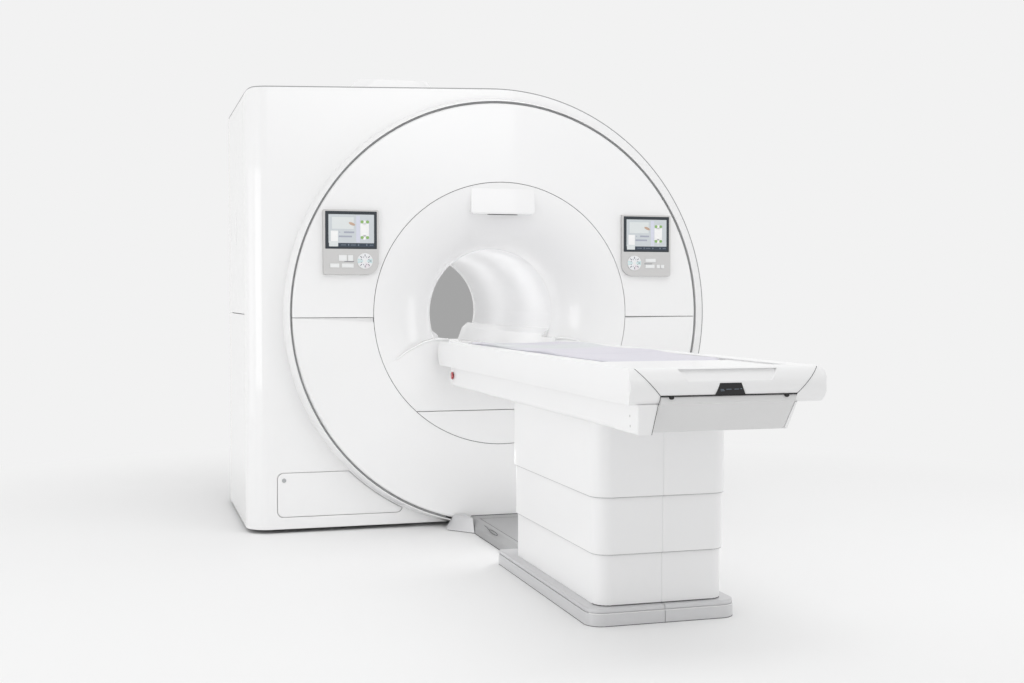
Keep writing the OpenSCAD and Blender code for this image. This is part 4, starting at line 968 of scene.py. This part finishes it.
# %% Corner cap and its screws
frame_low, frame_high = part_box("table_frame")
CAP_PROUD = 0.0004
CAP_X = frame_low[0] - CAP_PROUD
CAP_Y = -3.544
CAP_TOP = 0.8214
CAP_LOW = frame_low[2] + CAP_PROUD
CAP_IN_TOP = -0.2405
CAP_IN_LOW = -0.262
CAP_LIP = 0.01
CAP_ROUND = 0.009
CAP_EDGE = 0.0015
NEAR = 1e-5
SCREW_R = 0.0042
SCREW_SIDES = 12
SCREW_REACH = (0.0008, 0.004)
SCREW_ROUND = 0.0006
SCREWS = ((-3.4815, 0.7825), (-3.485, 0.7508))
corner_plan = (
    (CAP_TOP, ((CAP_X, -3.38), (CAP_X, CAP_Y), (CAP_IN_TOP, CAP_Y), (CAP_IN_TOP, -3.5))),
    (CAP_LOW, ((CAP_X, -3.34), (CAP_X, CAP_Y), (CAP_IN_LOW, CAP_Y), (CAP_IN_LOW, -3.43))))
corner_points = [(x, y, level) for level, plan in corner_plan for x, y in plan]
corner_mesh = bpy.data.meshes.new("frame_corner_cap")
corner_mesh.from_pydata(corner_points, [], [
    (3, 2, 1, 0), (4, 5, 6, 7), (0, 1, 5, 4), (1, 2, 6, 5), (2, 3, 7, 6), (3, 0, 4, 7)])


def is_outer(edge):
    """True for the cap's upright outer edge and its lower outer edge."""
    ends = [vert.co for vert in edge.verts]
    outside = all(abs(end.x - CAP_X) < NEAR for end in ends)
    at_end = all(abs(end.y - CAP_Y) < NEAR for end in ends)
    return outside and (at_end or all(end.z < CAP_TOP - CAP_LIP for end in ends))


shell = bmesh.new()
shell.from_mesh(corner_mesh)
bmesh.ops.recalc_face_normals(shell, faces=shell.faces)
bmesh.ops.bevel(
    shell, geom=[edge for edge in shell.edges if is_outer(edge)], offset=CAP_ROUND, segments=5,
    profile=0.5, affect="EDGES")
shell.to_mesh(corner_mesh)
shell.free()
corner_cap = soften(link(bpy.data.objects.new("frame_corner_cap", corner_mesh)), CAP_EDGE)
dress(corner_cap, "table_frame", "table_white")
heads = [oval(y, z, SCREW_R, SCREW_R, SCREW_SIDES) for y, z in SCREWS]
tiles("frame_screws", heads, 0, CAP_X, *SCREW_REACH, "table_frame", "housing_silver", SCREW_ROUND)
print("corner cap", len(corner_cap.data.polygons), "screws", len(heads))

# %% Dark seams beside the foot cover
END_BOW = 0.075
END_TOP = 0.935
END_LOW = 0.82
END_MID = (END_TOP + END_LOW) / 2
SEAM_TOP = 0.9335
SEAM_LOW = 0.8485
SEAM_X = (0.2365, 0.3185)
SEAM_Z = (0.848, 0.087)
SEAM_PROUD = 0.0002
SEAM_R = 0.0009
UNDER_TOP = 0.819
UNDER_FALL = 0.0925
UNDER_OUT = 0.0215
UNDER_FIRST = ((-0.2372, 0.0065, 0.846), (-0.2385, 0.0095, 0.833))
UNDER_PROUD = (0.0006, 0.0004)
UNDER_R = 0.0008
for name, sign in (("left", -1), ("right", 1)):
    seam_points = []
    for share in shares(14):
        z = SEAM_TOP - (SEAM_TOP - SEAM_LOW) * share
        x = SEAM_X[0] + (SEAM_X[1] - SEAM_X[0]) * (z - SEAM_Z[0]) / SEAM_Z[1]
        y = FOOT_Y + END_BOW - math.sqrt(END_BOW ** 2 - (z - END_MID) ** 2)
        seam_points.append((sign * x, y - SEAM_PROUD, z))
    bead(f"foot_seam_{name}", seam_points, SEAM_R, "seam_and_shadow_dark", "foot_cover")
under_seam = [(x, FOOT_Y + back, z) for x, back, z in UNDER_FIRST]
under_seam.append((CAP_IN_TOP, CAP_Y - UNDER_PROUD[0], UNDER_TOP))
for share in shares(6)[1:]:
    under_seam.append((
        CAP_IN_TOP - UNDER_OUT * share, CAP_Y - UNDER_PROUD[1], UNDER_TOP - UNDER_FALL * share))
bead("under_seam_left", under_seam, UNDER_R, "seam_and_shadow_dark", "table_frame")
print("seams", len(under_seam))

# %% [markdown]
# ## Mattress
# The pad is a thin foam sheet in a welded cover. Its underside keeps the curve of the cradle's dish,
# and its top is slack. A shell of even cells is drawn between the two curves, with cells close together
# at the rolled edge, and a short cloth simulation with air inside then lifts the top.

# %% Shell of the pad
pad_low, pad_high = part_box("mattress")
PAD_INSET = 0.002
PAD_HALF = pad_high[0] - PAD_INSET
PAD_NEAR = pad_high[1] - PAD_INSET
PAD_FAR = pad_low[1] + PAD_INSET
PAD_CORNER = 0.058
PAD_ROLL = 0.009
PAD_CELL = 0.014
REST_R = 1.5
REST_LIFT = 0.0004
REST_Z = pad_low[2] + REST_LIFT
TOP_R = 3.0
TOP_Z = 0.9285
EDGE_STEPS = (0.0, 0.0012, 0.0035, 0.007, 0.012)
pad_mid = (PAD_NEAR + PAD_FAR) / 2
pad_reach = (PAD_NEAR - PAD_FAR) / 2


def spread(low, high):
    """Places across the pad: close together at both edges and even between them."""
    inner_low, inner_high = low + EDGE_STEPS[-1], high - EDGE_STEPS[-1]
    count = round((inner_high - inner_low) / PAD_CELL)
    inner = [inner_low + (inner_high - inner_low) * i / count for i in range(1, count)]
    return [low + e for e in EDGE_STEPS] + inner + [high - e for e in reversed(EDGE_STEPS)]


def from_edge(x, y):
    """Distance from a place on the pad to its edge, round the corners too."""
    qx = abs(x) - (PAD_HALF - PAD_CORNER)
    qy = abs(y - pad_mid) - (pad_reach - PAD_CORNER)
    outside = math.hypot(max(qx, 0), max(qy, 0))
    return PAD_CORNER - outside - min(max(qx, qy), 0)


def row_half(y):
    """Half width of the pad at a place along it."""
    inward = PAD_CORNER - (pad_reach - abs(y - pad_mid))
    if inward <= 0:
        return PAD_HALF
    return PAD_HALF - PAD_CORNER + math.sqrt(max(PAD_CORNER ** 2 - inward ** 2, 0))


def pad_heights(x, y):
    """Lowest and highest point of the shell at a place on the pad."""
    rest = REST_Z + REST_R - math.sqrt(REST_R ** 2 - x * x)
    top = TOP_Z + TOP_R - math.sqrt(TOP_R ** 2 - x * x)
    roll = math.sqrt(max(1 - (1 - min(max(from_edge(x, y), 0) / PAD_ROLL, 1)) ** 2, 0))
    middle, half = (rest + top) / 2, (top - rest) / 2
    return middle - half * roll, middle + half * roll


across = spread(-PAD_HALF, PAD_HALF)
along = spread(PAD_FAR, PAD_NEAR)
pad_points = []
pad_faces = []
last_i, last_j = len(across) - 1, len(along) - 1
top_index, rest_index = {}, {}
for j, y in enumerate(along):
    for i, x in enumerate(across):
        x = x * row_half(y) / PAD_HALF
        low_z, high_z = pad_heights(x, y)
        rim = i in (0, last_i) or j in (0, last_j)
        top_index[i, j] = len(pad_points)
        pad_points.append((x, y, (low_z + high_z) / 2 if rim else high_z))
        rest_index[i, j] = top_index[i, j]
        if not rim:
            rest_index[i, j] = len(pad_points)
            pad_points.append((x, y, low_z))
for j in range(last_j):
    for i in range(last_i):
        corners = ((i, j), (i + 1, j), (i + 1, j + 1), (i, j + 1))
        pad_faces.append([top_index[c] for c in corners])
        pad_faces.append([rest_index[c] for c in reversed(corners)])
pad_mesh = bpy.data.meshes.new("mattress_pad")
pad_mesh.from_pydata(pad_points, [], pad_faces)
pad = link(bpy.data.objects.new("mattress_pad", pad_mesh))
print("pad shell", len(pad_points), "points")

# %% [markdown]
# The simulation runs with gravity off. The underside and the rim are held, and no point may move more
# than a few millimetres. Two sewn bands across the pad are held as well, as the real cover is tacked to
# its foam there, so the swell comes out in three fields.

# %% Let the top swell
SWELL_CAP = 0.0045
SIM_FRAMES = 14
TACK_Y = (-1.83, -2.47)
TACK_HALF = 0.008
STILL = 1e-7
CLOTH = {
    "quality": 4, "mass": 0.3, "tension_stiffness": 25, "compression_stiffness": 25,
    "bending_stiffness": 2, "use_pressure": True, "uniform_pressure_force": 4,
    "vertex_group_mass": "held"}
held = pad.vertex_groups.new(name="held")
top_points = {top_index[i, j] for i in range(1, last_i) for j in range(1, last_j)}
fixed = [i for i in range(len(pad_points)) if i not in top_points]
fixed += [i for i in top_points if any(abs(pad_points[i][1] - t) < TACK_HALF for t in TACK_Y)]
held.add(fixed, 1.0, "REPLACE")
cloth = pad.modifiers.new("air", "CLOTH")
for name, value in CLOTH.items():
    setattr(cloth.settings, name, value)
cloth.settings.effector_weights.gravity = 0
cloth.collision_settings.use_collision = False
for frame_number in range(1, SIM_FRAMES + 1):
    scene.frame_set(frame_number)
graph = bpy.context.evaluated_depsgraph_get()
blown = pad.evaluated_get(graph).to_mesh()
shifts = [blown.vertices[i].co - pad.data.vertices[i].co for i in range(len(pad_points))]
pad.evaluated_get(graph).to_mesh_clear()
pad.modifiers.clear()
for vert, shift in zip(pad.data.vertices, shifts):
    if shift.length > STILL:
        vert.co += shift.normalized() * SWELL_CAP * (1 - math.exp(-shift.length / SWELL_CAP))
scene.frame_set(1)
print("swell up to", round(max(s.length for s in shifts) * 1000, 1), "mm before the cap")

# %% [markdown]
# The photograph shows the pad's long edge rise and fall in two soft waves, where it doesn't quite
# lie down. The waves are added to the top after the simulation, strongest at the edges.

# %% Waves and a smooth surface
WAVES = ((-1.58, 0.23, 0.0095), (-2.33, 0.17, 0.0072))
WAVE_INSIDE = 0.35
CREASE = 0.0006
CREASE_SCALE = (6, 5)
CREASE_SLICE = 3.1
THINNEST = 0.002


def wave(x, y):
    """Lift of the pad's top at a place."""
    lift = sum(height * math.exp(-((y - middle) / width) ** 2) for middle, width, height in WAVES)
    return lift * (WAVE_INSIDE + (1 - WAVE_INSIDE) * min(abs(x) / PAD_HALF, 1) ** 2)


for vert in pad.data.vertices:
    low_z, high_z = pad_heights(vert.co.x, vert.co.y)
    share = min(max((vert.co.z - low_z) / max(high_z - low_z, THINNEST), 0), 1)
    vert.co.z += wave(vert.co.x, vert.co.y) * share
    place = Vector((vert.co.x * CREASE_SCALE[0], vert.co.y * CREASE_SCALE[1], CREASE_SLICE))
    vert.co.z += CREASE * noise.noise(place) * share
smooth = pad.modifiers.new("smooth", "SUBSURF")
smooth.levels = 1
settle(pad)
for polygon in pad.data.polygons:
    polygon.use_smooth = True

# %% [markdown]
# The cover is a coated fabric. Two crossed waves give its weave, and a broad zone across the pad has
# a slightly greener tint, as in the photograph.

# %% Woven finishes and piping
WEAVE_BUMP = 0.25
WEAVE_DEPTH = 0.0003
WEAVE_GLOSS = (0.42, 0.58)
SHEEN = {"Sheen Weight": 0.1, "Sheen Roughness": 0.4}
PIPING_R = 0.0018
PIPING_UP = 0.0015
PIPING_WAVE = 0.6
weave_group, given, result = new_group(
    "woven_skin",
    {"Colour": rgba(0.7), "Zone": rgba(0.7), "Thread": 700.0, "Zone Place": -1.75, "Zone Width": 0.35},
    {"Colour": rgba(0.7), "Weave": 0.0, "Roughness": 0.5})
where = add(weave_group, "TexCoord").outputs["Object"]
threads = []
for axis in ("X", "Y"):
    values = {"Vector": where, "Scale": given["Thread"]}
    threads.append(add(weave_group, "TexWave", values, bands_direction=axis).outputs["Fac"])
crossed = calc(weave_group, "MULTIPLY", *threads)
from_zone = calc(
    weave_group, "SUBTRACT", add(weave_group, "SeparateXYZ", {0: where}).outputs["Y"], given["Zone Place"])
zone = ranged(
    weave_group, calc(weave_group, "ABSOLUTE", from_zone), 1.0, 0.0, end=given["Zone Width"], soft=True)
fill(weave_group, result, {
    "Colour": blend(weave_group, zone, given["Colour"], given["Zone"]),
    "Weave": crossed,
    "Roughness": ranged(weave_group, crossed, *WEAVE_GLOSS)})


def woven(name, colour, zone_colour):
    """The coated fabric of the pad, with a fine weave and a faint zone of another tint."""
    mat, tree = node_material(name)
    values = {"Colour": rgba(colour), "Zone": rgba(zone_colour)}
    cloth = add(tree, "Group", values, node_tree=weave_group).outputs
    principled(
        tree, cloth["Colour"], cloth["Roughness"], cloth["Weave"], WEAVE_BUMP, WEAVE_DEPTH, SHEEN)
    return mat


finish["pad_fabric"] = woven("pad_fabric", (0.665, 0.65, 0.715), (0.665, 0.685, 0.7))
finish["pad_piping"] = woven("pad_piping", (0.62, 0.61, 0.67), (0.62, 0.63, 0.65))
dress(pad, "mattress", "pad_fabric")
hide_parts("mattress")


def rim_points():
    """Points round the pad's rim, at half its thickness there."""
    straight = [y for y in along if abs(y - pad_mid) < pad_reach - PAD_CORNER]
    turns = [math.pi / 2 * share for share in shares(8)]
    bends = [(PAD_CORNER * math.cos(t), PAD_CORNER * math.sin(t)) for t in turns]
    x, far_y, near_y = PAD_HALF - PAD_CORNER, PAD_FAR + PAD_CORNER, PAD_NEAR - PAD_CORNER
    line = [(-PAD_HALF, y) for y in reversed(straight)]
    line += [(-x - c, far_y - s) for c, s in bends]
    line += [(x + s, far_y - c) for c, s in bends]
    line += [(PAD_HALF, y) for y in straight]
    line += [(x + c, near_y + s) for c, s in bends]
    line += [(-x - s, near_y + c) for c, s in bends]
    return [
        (px, py, sum(pad_heights(px, py)) / 2 + PIPING_UP + PIPING_WAVE * wave(px, py)) for px, py in line]


piping = bead("mattress_piping", rim_points(), PIPING_R, "pad_piping", "mattress", closed=True)
print("pad", len(pad.data.polygons), "piping", len(piping.data.polygons))

# %% [markdown]
# ## Floor bridge
# The bridge over the cable duct is a textured plate with a plain sloping border and a groove where
# its lid lifts off. Its left flank carries the mark of a latch: a flat ring with a short arm ahead of
# it. The grooves are thin dark tiles set into the plate, and the latch is made of two beads.

# %% Marks on the floor bridge
bridge_low, bridge_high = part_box("floor_bridge")
BRIDGE_TOP = bridge_high[2]
GROOVE = 0.0028
GROOVE_CORNER = 0.001
GROOVE_REACH = (0.002, 0.0003)
LID_SIDE = 0.052
LID_NEAR = -1.06
LID_FAR = 0.03
FLANK_IN = 0.0165
LATCH_R = 0.0014
LATCH_Y = -1.43
LATCH_HALF = 0.07
LATCH_Z = 0.052
LATCH_HIGH = 0.005
LATCH_LEAN = 0.0031
LATCH_OUT = 0.0006
LATCH_ARM = (
    (0.0026, -1.262, 0.0562), (0.0024, -1.3, 0.056), (-0.0004, -1.345, 0.052), (-0.0006, -1.362, 0.0515))
lid_x = bridge_high[0] - LID_SIDE
lid_far = bridge_low[1] + LID_FAR
groove_boxes = (
    (-lid_x, lid_far, -lid_x + GROOVE, LID_NEAR), (lid_x - GROOVE, lid_far, lid_x, LID_NEAR),
    (-lid_x, LID_NEAR, lid_x, LID_NEAR + GROOVE))
grooves = [soft_block(*box, GROOVE_CORNER) for box in groove_boxes]
tiles("bridge_grooves", grooves, 2, BRIDGE_TOP, *GROOVE_REACH, "floor_bridge", "groove_dark")
flank_x = bridge_low[0] + FLANK_IN
latch_ring = []
for turn in (2 * math.pi * share for share in shares(20)[:-1]):
    x = flank_x + LATCH_LEAN * math.sin(turn) - LATCH_OUT
    latch_ring.append((
        x, LATCH_Y + LATCH_HALF * math.cos(turn), LATCH_Z + LATCH_HIGH * math.sin(turn)))
bead("bridge_latch", latch_ring, LATCH_R, "groove_dark", "floor_bridge", closed=True)
arm = [(flank_x + x, y, z) for x, y, z in LATCH_ARM]
bead("bridge_latch_arm", arm, LATCH_R, "groove_dark", "floor_bridge")
print("bridge marks", len(grooves))

# %% [markdown]
# Soft strips sit between the pedestal and the floor parts, and most of them paint light or shade. Each
# telescoping cover wipes the one below it with a grey lip, which also paints the shadow line under its step,
# and a grey line under each rail paints the rail's shadow. A dark bead paints the contact shadow under the
# lowest cover's front, thin dark beads paint the contact shadows of the base and the bridge on the floor,
# and a bright bead paints the highlight on the base's front edge. A gasket closes the gap where the bridge
# meets the magnet. All of them are beads.

# %% Lips, painted shadows and a painted highlight
BASE_CORNER = 0.062
FLOOR_SHADOW_Z = 0.0012
FLOOR_SHADOW_R = 0.0014
FLOOR_SHADOW_INSET = 0.0005
TIER_CORNERS = (("upper_tier_cover", 0.07), ("middle_tier_cover", 0.0625))
LIP_SHADOW_INSET = 0.0024
LIP_SHADOW_DOWN = 0.001
LIP_SHADOW_R = 0.0018
FRONT_SHADOW_INSET = 0.0015
FRONT_SHADOW_CORNER = 0.055
FRONT_SHADOW_UP = 0.0012
FRONT_SHADOW_POINTS = 14
FRONT_SHADOW_R = 0.0024
HIGHLIGHT_Z = 0.0455
HIGHLIGHT_INSET = 0.0004
HIGHLIGHT_PART = slice(2, 13)
HIGHLIGHT_R = 0.0017
RAIL_Z = 0.8192
RAIL_Y = (-1.16, -3.375)
RAIL_R = 0.0012
BRACKET_BACK = 0.047
BRIDGE_OUT = 0.001
BRIDGE_BACK = 0.004
GASKET_HALF = 0.164
GASKET_BACK = 0.004
GASKET_UP = 0.0006
GASKET_R = 0.0022


def plan_loop(node, inset, corner, z, square_near=False):
    """Points round the plan of a node, with rounded corners, at one height."""
    low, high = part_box(node)
    left, right, far, near = low[0] + inset, high[0] - inset, low[1] + inset, high[1] - inset
    quarters = (
        (left, far, 1, 1, 180), (right, far, -1, 1, 270), (right, near, -1, -1, 0), (left, near, 1, -1, 90))
    loop = []
    for x, y, side_x, side_y, first in quarters:
        bend = 0 if square_near and y == near else corner - inset
        for share in shares(6) if bend else (0,):
            turn = math.radians(first + 90 * share)
            loop.append((
                x + side_x * bend + bend * math.cos(turn), y + side_y * bend + bend * math.sin(turn), z))
    return loop


# Grey wiper lips under the upper tiers, which also paint the shadow line beneath each step.
for node, corner in TIER_CORNERS:
    lip = plan_loop(node, LIP_SHADOW_INSET, corner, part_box(node)[0][2] - LIP_SHADOW_DOWN)
    bead(f"{node}_lip", lip, LIP_SHADOW_R, "lip_and_shadow_grey", node, closed=True)
# A dark bead along the lowest cover's front paints its contact shadow on the base.
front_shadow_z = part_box("lower_tier_cover")[0][2] + FRONT_SHADOW_UP
front_shadow_loop = plan_loop("lower_tier_cover", FRONT_SHADOW_INSET, FRONT_SHADOW_CORNER, front_shadow_z)
bead("pedestal_contact_shadow", front_shadow_loop[:FRONT_SHADOW_POINTS], FRONT_SHADOW_R, "seam_and_shadow_dark", "table_base")
# A thin dark bead round the base paints its contact shadow on the floor.
base_loop = plan_loop("table_base", FLOOR_SHADOW_INSET, BASE_CORNER, FLOOR_SHADOW_Z, square_near=True)
bead("base_floor_shadow", base_loop, FLOOR_SHADOW_R, "seam_and_shadow_dark", "table_base", closed=True)
# A bright bead along the base's front edge paints the highlight on the metal.
highlight_loop = plan_loop("table_base", HIGHLIGHT_INSET, BASE_CORNER, HIGHLIGHT_Z)[HIGHLIGHT_PART]
bead("base_edge_highlight", highlight_loop, HIGHLIGHT_R, "painted_edge_highlight", "table_base")
bracket_low, bracket_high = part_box("bridge_brackets")
floor_shadow_plan = (
    (bracket_low[0], bracket_high[1] - BRACKET_BACK), (bridge_low[0] - BRIDGE_OUT, bracket_low[1]),
    (bridge_low[0], bridge_low[1] + BRIDGE_BACK))
# A grey line under each rail paints the rail's shadow on the frame, and thin dark beads paint the bridge's
# contact shadow on the floor.
for name, sign, rail_x in (("left", 1, frame_low[0]), ("right", -1, frame_high[0])):
    bead(f"rail_shadow_line_{name}", [(rail_x, y, RAIL_Z) for y in RAIL_Y], RAIL_R, "lip_and_shadow_grey", "table_frame")
    floor_line = [(sign * x, y, FLOOR_SHADOW_Z) for x, y in floor_shadow_plan]
    bead(f"bridge_floor_shadow_{name}", floor_line, FLOOR_SHADOW_R, "seam_and_shadow_dark", "floor_bridge")
gasket = [
    (x, bridge_high[1] - GASKET_BACK, BRIDGE_TOP + GASKET_UP) for x in (-GASKET_HALF, GASKET_HALF)]
bead("bridge_gasket", gasket, GASKET_R, "seam_and_shadow_dark", "floor_bridge")
print("strips", len(base_loop), len(highlight_loop))
